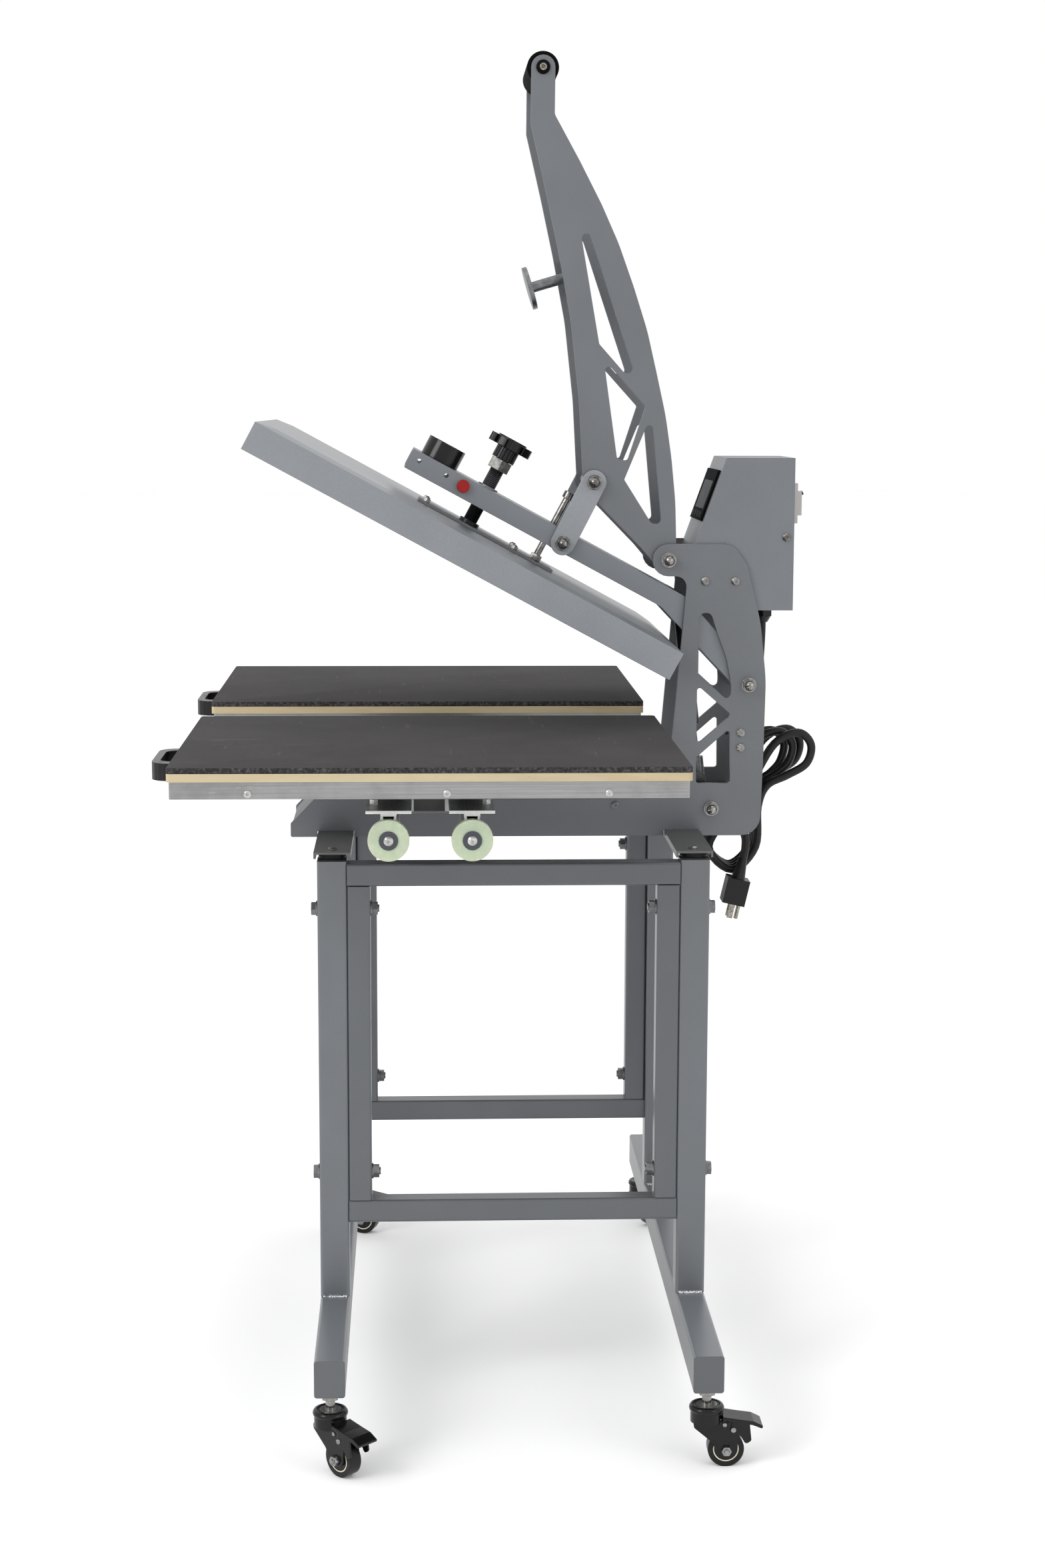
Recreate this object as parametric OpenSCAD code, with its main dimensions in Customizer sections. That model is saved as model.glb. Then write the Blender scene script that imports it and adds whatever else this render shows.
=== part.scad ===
// Dual station heat press on a wheeled stand, shown open.
// The front faces -Y, +X is the operator's right and Z is 0 on the floor.
// Y is measured from the stand's middle, then moved so that the origin is under the press's middle.

/* [Stand] */
// Outside width of a square leg
leg_w = 32; // [30:0.5:34]
// Wall of the legs and foot tubes
leg_wall = 1.5; // [1:0.25:2]
// Height of the leg tops above the floor
leg_top = 611; // [600:1:640]
// Distance from the middle of the press to the outer face of a leg
leg_reach = 211; // [208:1:216]
// Length of a side frame between the front and rear legs
frame_len = 360; // [350:1:380]
// Height of a side frame
frame_h = 400; // [360:1:420]
// Outside width of the side frame tube
frame_tube = 25; // [22:0.5:28]
// Height of the side frames above the floor
frame_low = 208.5; // [190:0.5:220]
// Length of a foot tube, end plates included
foot_len = 800; // [780:5:840]
// Height of a foot tube
foot_h = 40; // [36:1:44]
// Corner radius of all tubes
tube_r = 3; // [2.5:0.25:4]
// Diameter of the bolts that hold the side frames
leg_bolt_d = 8; // [6:0.5:9]

/* [Casters] */
// Height from the floor to the foot tubes
caster_h = 84; // [82:1:90]
// Diameter of a caster wheel
wheel_d = 38; // [36:0.5:40]
// Width of a caster wheel
wheel_w = 15; // [13:0.5:16]
// Distance of a caster stem from the end of its foot tube
caster_inset = 17; // [16:1:24]
// Distance of a wheel axle behind its stem
caster_trail = 20; // [18:0.5:21]
// Diameter of a caster stem
stem_d = 10; // [8:0.5:11]

/* [Base and column] */
// Width of the channels that stand on the legs
channel_w = 40; // [38:1:44]
// Length of those channels
channel_len = 406; // [396:2:416]
// Sheet thickness of those channels
channel_t = 2.5; // [2:0.25:3]
// Diameter of the rubber feet under the channels
rubber_d = 30; // [26:1:32]
// Height of the rubber feet
rubber_h = 6; // [5:0.5:8]
// Thickness of the side plates
plate_t = 4; // [3:0.25:5]
// Clear distance between the side plates
plate_gap = 124; // [122:1:130]
// Length of the side plates, front to rear
base_len = 536; // [525:1:550]
// Height of the side plates' long base
base_h = 42.5; // [40:0.5:46]
// Height of the column from the underside of the base
column_h = 330; // [325:1:340]
// Radius of the column's ear round the lever pivot
ear_r = 18; // [17:0.25:19]
// Diameter of the pivot shafts
shaft_d = 8; // [6:0.5:9]

/* [Shuttle] */
// Width of a platen, side to side
platen_w = 406; // [396:2:412]
// Length of a platen, front to rear
platen_l = 508; // [500:2:516]
// Gap between the two platens
platen_gap = 137; // [130:1:150]
// Thickness of the foam pad
pad_t = 6; // [4:0.5:8]
// Thickness of the cream board under the pad
board_t = 8; // [6:0.5:9]
// Height of the aluminium frame under the board
tray_h = 17; // [15:0.5:19]
// Distance between the two rails
rail_gap = 82; // [80:1:86]
// Diameter of the rail shafts
rail_d = 20; // [18:0.5:21]
// Length of the rails
rail_len = 880; // [860:5:900]
// Diameter of the end bumpers
bumper_d = 41; // [36:0.5:43]
// Length of a platen handle
handle_l = 115; // [100:1:130]
// Distance that a handle stands out
handle_out = 33; // [30:0.5:38]

/* [Arm and heat head] */
// Angle at which the arm stands open
open_angle = 28.3; // [20:0.1:30]
// Reach of the arm in front of its pivot
arm_len = 456.5; // [450:0.5:465]
// Height of the arm's side
arm_h = 23; // [22:0.5:25]
// Outside width of the arm
arm_w = 120; // [118:0.5:121]
// Length of the heat head, front to rear
head_len = 515; // [508:1:522]
// Width of the heat head
head_w = 410; // [400:1:416]
// Height of the heat head's side wall
head_h = 32; // [30:0.5:33]
// Diameter of the pressure screw
screw_d = 16; // [14:0.5:17]
// Diameter of the pressure knob
knob_d = 51; // [46:1:54]
// Diameter of the electromagnet
magnet_d = 45; // [40:1:48]

/* [Lever] */
// Length of the lever above its pivot
lever_len = 547; // [540:1:555]
// Angle that the lever turns from open to closed
lever_angle = 73.5; // [70:0.1:74]
// Thickness of the lever and link plates
lever_t = 4; // [3:0.25:4.5]
// Distance from the lever pivot to the link's upper pivot
crank_len = 120.5; // [119:0.5:122]
// Diameter of the grip
grip_d = 35; // [32:0.5:38]

/* [Control box] */
// Height of the control box
box_h = 170; // [165:1:180]
// Depth of the control box at its widest
box_d = 112; // [108:1:118]
// Sheet thickness of the control box
box_t = 1.5; // [1:0.25:2]

/* [Power cord] */
// Diameter of the power cord
cord_d = 9.5; // [9:0.1:9.8]

/* [Hidden] */

$fn = 48;
// Facets of small screws and bolts
small_fn = 24;
// Overrun of every cut
over = 1;
// Radial clearance of a shaft in its bore
fit = 0.05;
// Clearance between pieces that must not touch
gap = 0.3;
// Steps in a rounded corner of an outline
corner_steps = 5;

// Thickness of the plates that close tube ends
cap_t = 2;
// Width across the corners of a nut, and its height, as shares of the thread
nut_share = 1.85;
nut_h_share = 0.8;
// Washer across and washer thickness as shares of the thread
washer_share = 2.1;
washer_t_share = 0.2;

leg_mid = frame_len / 2 + leg_w / 2;
frame_x = leg_reach - frame_tube / 2;
frame_top = frame_low + frame_h;
foot_top = caster_h + foot_h;
foot_half = foot_len / 2;
stem_x = foot_half - caster_inset;
// Distance of the frame bolts from the ends of a frame's uprights
bolt_step = 30;
upper_bolt_rise = 4;
bolt_inset = frame_tube + bolt_step;
bolt_heights = [frame_low + bolt_inset, frame_top - bolt_inset + upper_bolt_rise];
weld_r = 3;
weld_count = 7;

channel_top = leg_top + rubber_h + channel_t;
// How far the channels' lips hang below their web
channel_lip = 4.5;
// How far the side plates reach below the tops of the channels
notch_h = 6.5;
base_low = channel_top - notch_h;
base_top = base_low + base_h;
plate_in = plate_gap / 2;
plate_out = plate_in + plate_t;
// Distance of the side plates' rear edge behind the middle of the stand
plate_rear = 289;
plate_front = plate_rear - base_len;
column_top = base_low + column_h;
// Share of the base length, from its front, at which the lever pivot stands
lever_pivot_share = 0.7922;
lever_pivot = [plate_front + lever_pivot_share * base_len, column_top - ear_r];
// From the lever pivot to the arm pivot and to the control box's screws
arm_back = 92.1;
arm_drop = 140.1;
box_screw_near = 41.2;
box_screw_far = 75.1;
box_screw_drop = 23.4;
arm_pivot = lever_pivot + [arm_back, -arm_drop];
box_screws = [for (s = [box_screw_near, box_screw_far]) lever_pivot + [s, -box_screw_drop]];
// In from the side plates' rear edge, and up from the base: the tie bolt and the foot of the gas strut
tie_in = 60;
tie_up = 31;
strut_in = 68;
strut_up = 15;
tie_pivot = [plate_rear - tie_in, base_low + tie_up];
strut_foot = [plate_rear - strut_in, base_top + strut_up];
// Two small screws in each side plate
plate_screw_in = 27.5;
plate_screw_ups = [58, 75];
plate_screws = [for (up = plate_screw_ups) [plate_rear - plate_screw_in, base_top + up]];
cover_t = 2;
cover_in = 28;
cover_rear = plate_rear - cover_in;
nose_rise = 15.5;

// Height of the rail shafts above the top of the base
rail_up = 19.5;
rail_z = base_top + rail_up;
tray_t = 3.2;
tray_w = 130;
block_w = 48;
block_l = 50;
// Height from a rail shaft to the top of its flange, and the flange itself
rail_rise = 28;
flange_w = 45;
flange_t = 3;
web_w = 8;
// Space for nuts between the rail flanges and the shuttle plate
nut_space = 11.5;
shuttle_t = 5.5;
shuttle_w = 128;
shuttle_len = rail_len;
shuttle_low = rail_z + rail_rise + nut_space;
tray_low = shuttle_low + shuttle_t;
board_low = tray_low + tray_h;
pad_low = board_low + board_t;
platen_x = platen_gap / 2 + platen_w / 2;
// Share of the rail length at which the blocks meet the bumpers as a platen comes under the head
block_out_share = 0.19148;
block_out = rail_len * block_out_share;
tray_short = 4;
tray_len = 2 * block_out - tray_short;
// Distance of the platens' middle in front of the middle of the stand
platen_y = -91;
tray_inset = 2.5;
tray_wall = 3;
platen_front = platen_y - platen_l / 2;

// Shape of the arm, closed: u runs forward from the arm pivot and h up from it
arm_low = 30;
arm_top = arm_low + arm_h;
arm_t = 3;
arm_side = arm_w / 2;
hub_r = 13;
// Lines meet a round hub at this share of its radius, so that they cross its edge
touch_share = 0.97;
link_u = 261;
link_h = 40;
strut_u = 98;
strut_h = 32;
screw_back = 95.2;
magnet_back = 32.5;
button_back = 68;
guide_step = 85.3;
screw_u = arm_len - screw_back;
magnet_u = arm_len - magnet_back;
button_u = arm_len - button_back;
guide_u = screw_u - guide_step;
magnet_h = 22;
// Shape of the heat head, closed
head_shift = 2.5;
head_rear_u = screw_u - head_len / 2 - head_shift;
head_top_h = 1;
head_low_h = head_top_h - head_h;
roof_rise = 3;
roof_inset = 22;
heater_t = 14;
shell_t = 1.5;
mount_t = 3;
mount_low = head_top_h + roof_rise;
mount_top = mount_low + mount_t;
mount_w = 76;
mount_behind = 107.3;
mount_rear_u = screw_u - mount_behind;
mount_len = 171;
mount_bolt_ahead = 54.7;
mount_bolt_behind = 57.3;
mount_bolt_us = [screw_u + mount_bolt_ahead, screw_u - mount_bolt_behind];
mount_bolt_x = 25;

// The lever's pivot for the link, open
crank_angle = 134.2;
crank_pivot = lever_pivot + crank_len * [cos(crank_angle), sin(crank_angle)];
lever_side = 60;
link_t = lever_t;
link_gap = 1;
link_in = lever_side + link_gap;
link_r = 13.5;
disc_d = 48;
disc_t = 5;

// Control box
box_drop = 56.5;
box_out = 28;
box_top_d = 75.5;
box_low_d = 101;
box_nose_up = 68;
box_low = lever_pivot.y - box_drop;
box_top = box_low + box_h;
box_rear = plate_rear + box_out;
box_side = plate_in - gap;
box_front_top = box_rear - box_top_d;
box_nose = [box_rear - box_d, box_low + box_nose_up];
box_front_low = box_rear - box_low_d;
breaker_out = 19.5;
breaker_up = 118;
breaker_z = box_low + breaker_up;
breaker_h = 45;

// The press is moved so that its middle lies over the origin
front_y = platen_front + tray_inset - handle_out;
rear_y = box_rear + box_t + breaker_out;
mid_y = (front_y + rear_y) / 2;

// Outlines of the side plate, from its front foot, as shares of base_len and column_h, with corner radii
column_foot_share = 0.793;
nose_share = 0.0485;
bevel_share = 0.414;
throat_shares = [0.832, 0.891, 0.036];
side_plate_rear_shares = [[0.992, 0, 0.067], [0.997, 0.264, 0.6], [1, 0.536, 0.6],
  [0.987, 0.733, 0.45], [0.957, 0.93, 0.12], [0.927, 1, 0.06]];
upper_window_shares = [[0.857, 0.767, 0.021], [0.882, 0.767, 0.021], [0.897, 0.694, 0.121],
  [0.916, 0.612, 0.182], [0.927, 0.521, 0.182], [0.926, 0.458, 0.015], [0.857, 0.559, 0.009]];
middle_window_shares = [[0.855, 0.521, 0.009], [0.928, 0.418, 0.009], [0.855, 0.315, 0.009]];
lower_window_shares = [[0.855, 0.271, 0.006], [0.926, 0.373, 0.009], [0.927, 0.182, 0.009],
  [0.855, 0.182, 0.009]];
// Outlines of the lever plate, from its pivot, as shares of lever_len, with corner radii
lever_shares = [[-0.284, 1, 0.0235], [-0.236, 1, 0.0235], [-0.237, 0.885, 0.018], [-0.186, 0.794, 0.219],
  [-0.142, 0.71, 0.274], [-0.107, 0.633, 0.366], [-0.076, 0.548, 0.366], [-0.048, 0.462, 0.457],
  [-0.028, 0.377, 0.457], [-0.009, 0.293, 0.548], [0.004, 0.207, 0.548], [0.013, 0.119, 0.548],
  [0.017, 0, 0], [-0.018, -0.02, 0], [-0.054, 0.022, 0.037], [-0.149, 0.119, 0.037], [-0.176, 0.159, 0.026],
  [-0.185, 0.322, 0.366], [-0.203, 0.484, 0.366], [-0.229, 0.62, 0.366], [-0.255, 0.739, 0.366],
  [-0.285, 0.867, 0.018]];
lever_window_shares = [
  [[-0.177, 0.653, 0.007], [-0.166, 0.653, 0.007], [-0.072, 0.375, 0.009], [-0.094, 0.378, 0.007],
    [-0.145, 0.435, 0.011], [-0.182, 0.645, 0.007]],
  [[-0.134, 0.393, 0.007], [-0.12, 0.388, 0.007], [-0.05, 0.311, 0.005], [-0.086, 0.201, 0.007],
    [-0.107, 0.205, 0.007]],
  [[-0.047, 0.272, 0.007], [-0.034, 0.272, 0.007], [-0.015, 0.071, 0.009], [-0.036, 0.075, 0.009],
    [-0.092, 0.163, 0.004]]];

// Casters: shares of caster_h, then points [back from the stem, up, corner radius] drawn for caster_drawn_h
housing_share = 0.4048;
housing_low_share = 0.5952;
housing_top_share = 0.7857;
race_share = 0.2619;
jam_share = 0.0833;
cheek_share = 0.1071;
caster_drawn_h = 84;
caster_scale = caster_h / caster_drawn_h;
housing_d = caster_h * housing_share;
housing_low = caster_h * housing_low_share;
housing_top = caster_h * housing_top_share;
race_d = caster_h * race_share;
jam_h = caster_h * jam_share;
stem_rise = 12;
cheek_in = caster_h * cheek_share;
cheek_t = 2;
axle_d = 6;
pedal_pin = [27, 42];
cheek_points = [[-15, 50, 2], [30, 50, 3], [33, 38, 6], [31, 13, 9], [11, 13, 7], [5, 28, 8],
  [-14, 44, 3]];
pedal_points = [[16, 56, 0], [34, 53, 6], [48, 51, 6], [58, 46, 1], [57, 43, 1], [47, 47, 6],
  [34, 49, 6], [16, 52, 0]];
ear_points = [[26, 52, 0], [44, 49, 2], [46, 30, 3], [40, 26, 3], [34, 36, 3], [24, 38, 3]];
ear_gap = 0.3;
ear_t = 1.5;
pedal_w = 2 * (cheek_in + cheek_t + ear_gap + ear_t);
ring_deep = 1;
ring_out_share = 0.72;
ring_in_share = 0.64;
// Each caster's side, its end and its turn
right_front = [1, -1, -47];
right_rear = [1, 1, 0];
left_front = [-1, -1, -20];
left_rear = [-1, 1, 35];

// Small details
dome_share = 1.5;
screw_head_share = 1.9;
screw_top_share = 1.2;
screw_step_share = 0.3;
screw_socket_share = 0.6;
bead_shares = [1, 0.86];
head_share = 0.66;
ear_round_share = 0.98;
spacer_share = 2.2;
heel_r = 2;
throat_r = 30;
notch_gap = 1;
rubber_in = 25;
rubber_x = leg_reach - rubber_in;
foot_screw_d = 5;
bolt_d = 5;
cover_flange = 14;
cover_shares = [0.2556, 0.6847];
cover_ys = [for (s = cover_shares) plate_front + s * base_len];
tray_screw_in = 20;
tray_screw_y = 48;
tray_screw_x = plate_in - tray_screw_in;
tray_screw_ys = [platen_y - tray_screw_y, platen_y + tray_screw_y];
block_rise = 8;
block_slot = 20;
block_hole_share = 0.36;
block_screw_in = 6;
clevis_in = 9;
box_nut_h = 4;

// Shuttle details
rail_screw_share = 0.0909;
rail_screw_xs = [for (i = [-5:2:5]) i * rail_len * rail_screw_share];
rail_screw_y = 15;
web_t = 2.5;
web_foot_share = 0.3;
bumper_h = 10;
bumper_screw_in = 14;
bumper_washer_share = 0.46;
tray_side_shares = [-0.3465, 0.0315, 0.3406];
tray_side_ys = [for (s = tray_side_shares) s * platen_l];
side_screw_share = 0.8;
pad_corner_r = 4;
board_block = 40;
block_spread_share = 0.36;
handle_drop = 3.5;
handle_low = tray_low - handle_drop;
handle_screw_z = tray_low + tray_h / 2;
handle_h = 18;
handle_foot = 16;
handle_bar = 8;
handle_screw_inset = 8.5;
handle_screw_x = handle_l / 2 - handle_screw_inset;
handle_screw_in = 12;
handle_round_share = 0.6;
handle_inner_share = 0.4;

// Arm and head details
arm_foot_u = 130;
arm_neck_u = 110;
arm_hole_up = 14;
arm_hole_backs = [12.2, 46.2];
arm_holes = [for (back = arm_hole_backs) [arm_len - back, arm_low + arm_hole_up]];
bush_d = 24;
bush_low = 36;
guide_head = 13;
button_h = 42.8;
button_d = 11;
button_cap_d = 14.4;
strut_side = 9;
magnet_recess_share = 0.72;
nut_stack_h = 12.5;
knob_hub_d = 25.6;
knob_hub_h = 14;
knob_h = 12;
knob_lobes = 6;
knob_lobe_d = 15;
collar_h = 4;
plate_tab_w = 40;
plate_tab_t = 3;
closed_tab_z = 46.6;

// Lever and link details
lever_hub_r = 14;
grip_back_share = 0.2605;
grip_down = 13;
grip_at = [lever_pivot.x - grip_back_share * lever_len, lever_pivot.y + lever_len - grip_down];
stud_d = 12;
magnet_gap = 0.4;
button_travel = 2.5;
button_cap_h = 3;
heater_gap = 1;
guide_lift = 32;
collar_d = 24;
lock_nut_share = 1.7;
knob_lift = 35.5;
knob_low = arm_top + knob_lift;
knob_core_share = 0.72;
strut_d = 16;
strut_rod_d = 8;
strut_low = 63.4;
strut_bore = 76;
strut_rod_len = 92;
strut_sleeve = 24.2;
strut_eye_w = 14;
strut_slack = 1.5;

// Control box details
bezel_w = 104;
bezel_l = 60;
bezel_h = 3;
bezel_up = 33;
screen_w = 78;
screen_l = 34;
screen_t = 1;
side_screw_in = 7;
side_screw_up = 82;
side_screw_at = [box_rear - side_screw_in, box_low + side_screw_up];
breaker_w = 36;
breaker_thin = 10;
toggle_up = 8;
toggle_at = [box_rear + box_t + breaker_out, breaker_z + toggle_up];
toggle_r = 5;
toggle_l = 9;
toggle_w = 12;
gland_back = 25;
gland_y = box_rear - gland_back;
gland_d = 22;
gland_h = 18;
board_w = 96;
board_l = 56;
board_thick = 1.6;

box_top_share = 0.7;
box_low_share = 0.85;
gland_neck_share = 0.7;
gland_end_share = 0.6;
gland_cone_share = 0.4;
nut_flat_share = 1.7;
gland_bore = 10;
gland_in = 8;
tab_t = 1.5;
tab_l = 20;
breaker_in = 40;
breaker_step_share = 0.3;
toggle_rest = 25;
toggle_bar_share = 0.4;
board_deep = 14;
relay_w = 60;
relay_l = 36;
relay_h = 40;
relay_back = 84;
relief_l = 24;
relief_d = 16;
plug_w = 26;
plug_t = 26;
plug_l = 30;
blade_gap = 12.7;
blade_t = 1.5;
blade_w = 6.4;
blade_l = 17;
earth_d = 4.8;

// Power cord: route points [x, y, z] along its middle, from the mouth of its gland
cord_sides = 8;
hank_sides = 6;
hank_loops = 4;
// Steps of the smooth curve between two route points
hank_steps = 2;
cord_steps = 4;
hank_pitch = 12;
cord_r = cord_d / 2;
lead_points = [[0, 0, -10.5], [0, 0, -28.5], [0, -1, -53.5], [-4, -2, -78.5], [-10, -2, -103.5],
  [-16, -2, -128.5], [-22, -4, -158.5], [-24, -9, -194.9]];
// The hank's loop as [y, z], from the tie down its front strand, round and up again
loop_points = [[-14, -203.5], [-34, -236.5], [-59, -277.5], [-32, -304.5], [-5, -277.5], [-3, -230.5],
  [7, -205.5], [30, -193.5], [52, -179.5], [58, -157.5], [41, -143.5], [14, -156.5]];
// How far each turn's upper fold stands forward, over a rise from its waist
fan_steps = [-8, -28, -20, 0];
fan_low = -213;
fan_rise = 35;
tie_point = [-14, -203.5];
tie_step = [-5.1, -8.6];
hank_x = hank_pitch * hank_loops / 2;
loop_rings = len(loop_points);
hank_route = [for (i = [1:hank_loops * loop_rings - 1]) let (p = loop_points[i % loop_rings])
  [-hank_x + hank_pitch * i / loop_rings,
    p.x + fan_steps[floor(i / loop_rings)] * min(1, max(0, (p.y - fan_low) / fan_rise)), p.y]];
function tied(x, k) = [x, tie_point.x + k * tie_step.x, tie_point.y + k * tie_step.y];
hank_path = concat([tied(-hank_x, 0)],
  curve(concat([tied(-hank_x, 1)], hank_route, [tied(hank_x, -1)]), hank_steps), [tied(hank_x, 0)]);
lead_path = concat([[0, 0, gland_in]], curve(lead_points, cord_steps), [tied(-hank_x, 0)]);
plug_tilt = 13;
plug_lead = 10;
tail_end = [34, -21.3, -287.3];
tail_points = [[25, -24, -228.5], [29.5, -24, -247.5], [33.5, -19, -264],
  tail_end + plug_lead * [0, sin(plug_tilt), cos(plug_tilt)]];
tail_path = concat([tied(hank_x, 0)], curve(concat([tied(hank_x, 1)], tail_points), cord_steps), [tail_end]);

paint = "#767c82";
steel = "#b8babd";
black = "#1b1b1d";

function unit(v) = v / norm(v);
function corner(p, q, s, r) =
  let (u = unit(p - q), v = unit(s - q), half = acos(u * v) / 2,
    c = q + unit(u + v) * r / sin(half),
    first = q + u * r / tan(half) - c, last = q + v * r / tan(half) - c,
    a = atan2(first.y, first.x), turn = atan2(last.y, last.x) - a,
    sweep = turn > 180 ? turn - 360 : turn < -180 ? turn + 360 : turn)
  [for (i = [0:corner_steps]) c + r * [cos(a + sweep * i / corner_steps), sin(a + sweep * i / corner_steps)]];
// Outline through points [y, z, radius], each corner rounded by its radius
function rounded(points) =
  [for (i = [0:len(points) - 1])
    let (p = points[(i + len(points) - 1) % len(points)], q = points[i], s = points[(i + 1) % len(points)])
    each q.z > 0 ? corner([p.x, p.y], [q.x, q.y], [s.x, s.y], q.z) : [[q.x, q.y]]];
function on_plate(shares) = [for (s = shares)
  [plate_front + s.x * base_len, base_low + s.y * column_h, s.z * column_h]];
function on_lever(shares) = [for (s = shares)
  [lever_pivot.x + s.x * lever_len, lever_pivot.y + s.y * lever_len, s.z * lever_len]];
// Turns a point of the closed arm, u forward and h up, into the open arm's y and z
function opened(u, h) = arm_pivot +
  [h * sin(open_angle) - u * cos(open_angle), u * sin(open_angle) + h * cos(open_angle)];

module placed() { translate([0, -mid_y, 0]) children(); }
// Stands a flat outline up in the Y-Z plane and gives it a thickness along X, from x on
module upright(x, t) { translate([x, 0, 0]) rotate([90, 0, 90]) linear_extrude(t) children(); }
module upright_mid(t) { upright(-t / 2, t) children(); }
module raise(z) { translate([0, 0, z]) children(); }
module at_yz(p) { translate([0, p.x, p.y]) children(); }
module x_rod(d, x0, x1) { translate([x0, 0, 0]) rotate([0, 90, 0]) cylinder(d = d, h = x1 - x0); }
module y_rod(d, y0, y1) { translate([0, y1, 0]) rotate([90, 0, 0]) cylinder(d = d, h = y1 - y0); }
module x_hole(d, x0, x1) { x_rod(d + 2 * fit, x0 - over, x1 + over); }
module both_x() { for (side = [0, 1]) mirror([side, 0, 0]) children(); }
module both_y() { for (side = [0, 1]) mirror([0, side, 0]) children(); }
module rounded_rect(w, h, r) {
  square([w - 2 * r, h], center = true);
  square([w, h - 2 * r], center = true);
  for (x = [-1, 1], y = [-1, 1]) translate([x * (w / 2 - r), y * (h / 2 - r)]) circle(r = r, $fn = small_fn);
}
module tube_outline(w, h, wall) {
  difference() {
    rounded_rect(w, h, tube_r);
    rounded_rect(w - 2 * wall, h - 2 * wall, tube_r - wall);
  }
}
// Nut with a bore, standing on Z 0
module nut(d) {
  difference() {
    cylinder(d = d * nut_share, h = d * nut_h_share, $fn = 6);
    raise(-over) cylinder(d = d + 2 * fit, h = d + 2 * over, $fn = small_fn);
  }
}
module washer(d, bore) {
  difference() {
    cylinder(d = d, h = bore * washer_t_share, $fn = small_fn);
    raise(-over) cylinder(d = bore + 2 * fit, h = bore + 2 * over, $fn = small_fn);
  }
}
// Domed nut with a blind bore, standing on Z 0
module acorn(d) {
  difference() {
    union() {
      cylinder(d = d * nut_share, h = d * nut_h_share, $fn = 6);
      raise(d * nut_h_share) intersection() {
        sphere(d = d * dome_share, $fn = small_fn);
        cylinder(d = d * 2, h = d);
      }
    }
    raise(-over) cylinder(d = d + 2 * fit, h = over + d * nut_h_share, $fn = small_fn);
  }
}
// Screw with a low round head that stands on Z 0 and a shank below it
module round_screw(d, shank) {
  step = d * screw_step_share;
  difference() {
    union() {
      raise(-shank) cylinder(d = d, h = shank + step / 2, $fn = small_fn);
      cylinder(d = d * screw_head_share, h = step, $fn = small_fn);
      raise(step)
        cylinder(d1 = d * screw_head_share, d2 = d * screw_top_share, h = step, $fn = small_fn);
    }
    raise(step) cylinder(d = d * screw_socket_share, h = d, $fn = 6);
  }
}

// Stand

module foot_tubes() {
  color(paint) placed() both_y() {
    difference() {
      translate([0, leg_mid, caster_h + foot_h / 2])
        upright_mid(foot_len - 2 * cap_t) tube_outline(leg_w, foot_h, leg_wall);
      both_x() translate([stem_x, leg_mid, caster_h - over])
        cylinder(d = stem_d + 2 * gap, h = leg_wall + 2 * over);
    }
    both_x() translate([0, leg_mid, caster_h + foot_h / 2])
      upright(foot_half - cap_t, cap_t) rounded_rect(leg_w, foot_h, tube_r);
  }
}

// Lumps of a weld on one face of a leg, a quarter round along Y
module weld() {
  step = (leg_w - 2 * tube_r) / weld_count;
  intersection() {
    for (i = [0:weld_count - 1])
      y_rod(2 * weld_r * bead_shares[i % 2], -leg_w / 2 + tube_r + i * step,
        -leg_w / 2 + tube_r + (i + 1) * step);
    translate([0, -leg_w, 0]) cube([weld_r, 2 * leg_w, weld_r]);
  }
}

module legs() {
  leg_x = leg_reach - leg_w / 2;
  color(paint) placed() both_x() both_y() {
    difference() {
      translate([leg_x, leg_mid, foot_top]) linear_extrude(leg_top - cap_t - foot_top)
        tube_outline(leg_w, leg_w, leg_wall);
      for (z = bolt_heights) translate([frame_x, 0, z])
        y_rod(leg_bolt_d + 2 * fit, leg_mid - leg_w, leg_mid + leg_w);
    }
    difference() {
      translate([leg_x, leg_mid, leg_top - cap_t]) linear_extrude(cap_t) rounded_rect(leg_w, leg_w, tube_r);
      translate([rubber_x, leg_mid, leg_top - cap_t - over])
        cylinder(d = foot_screw_d + 2 * fit, h = cap_t + 2 * over, $fn = small_fn);
    }
  }
  color(steel) placed() both_x() both_y() for (side = [0, 1])
    translate([leg_x, leg_mid, foot_top]) mirror([side, 0, 0]) translate([leg_w / 2, 0, 0]) weld();
}

module side_frames() {
  rise = frame_h - 2 * frame_tube;
  color(paint) placed() both_x() {
    for (z = [frame_low, frame_top - frame_tube])
      translate([frame_x, frame_len / 2, z + frame_tube / 2]) rotate([90, 0, 0])
        linear_extrude(frame_len) tube_outline(frame_tube, frame_tube, leg_wall);
    both_y() difference() {
      translate([frame_x, frame_len / 2 - frame_tube / 2, frame_low + frame_tube])
        linear_extrude(rise) tube_outline(frame_tube, frame_tube, leg_wall);
      for (z = bolt_heights) translate([frame_x, 0, z])
        y_rod(leg_bolt_d + 2 * fit, frame_len / 2 - 2 * frame_tube, frame_len / 2 + frame_tube);
    }
  }
}

module stand_bolts() {
  inner = frame_len / 2 - frame_tube;
  outer = frame_len / 2 + leg_w;
  thick = leg_bolt_d * washer_t_share;
  color(steel) placed() both_x() both_y() for (z = bolt_heights) translate([frame_x, 0, z]) {
    y_rod(leg_bolt_d, inner - thick - leg_bolt_d, outer + thick);
    translate([0, outer + thick, 0]) rotate([-90, 0, 0])
      cylinder(d = leg_bolt_d * nut_share, h = leg_bolt_d * head_share, $fn = 6);
    translate([0, outer, 0]) rotate([-90, 0, 0]) washer(leg_bolt_d * washer_share, leg_bolt_d);
    translate([0, inner, 0]) rotate([90, 0, 0]) washer(leg_bolt_d * washer_share, leg_bolt_d);
    translate([0, inner - thick, 0]) rotate([90, 0, 0]) nut(leg_bolt_d);
  }
}

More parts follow.
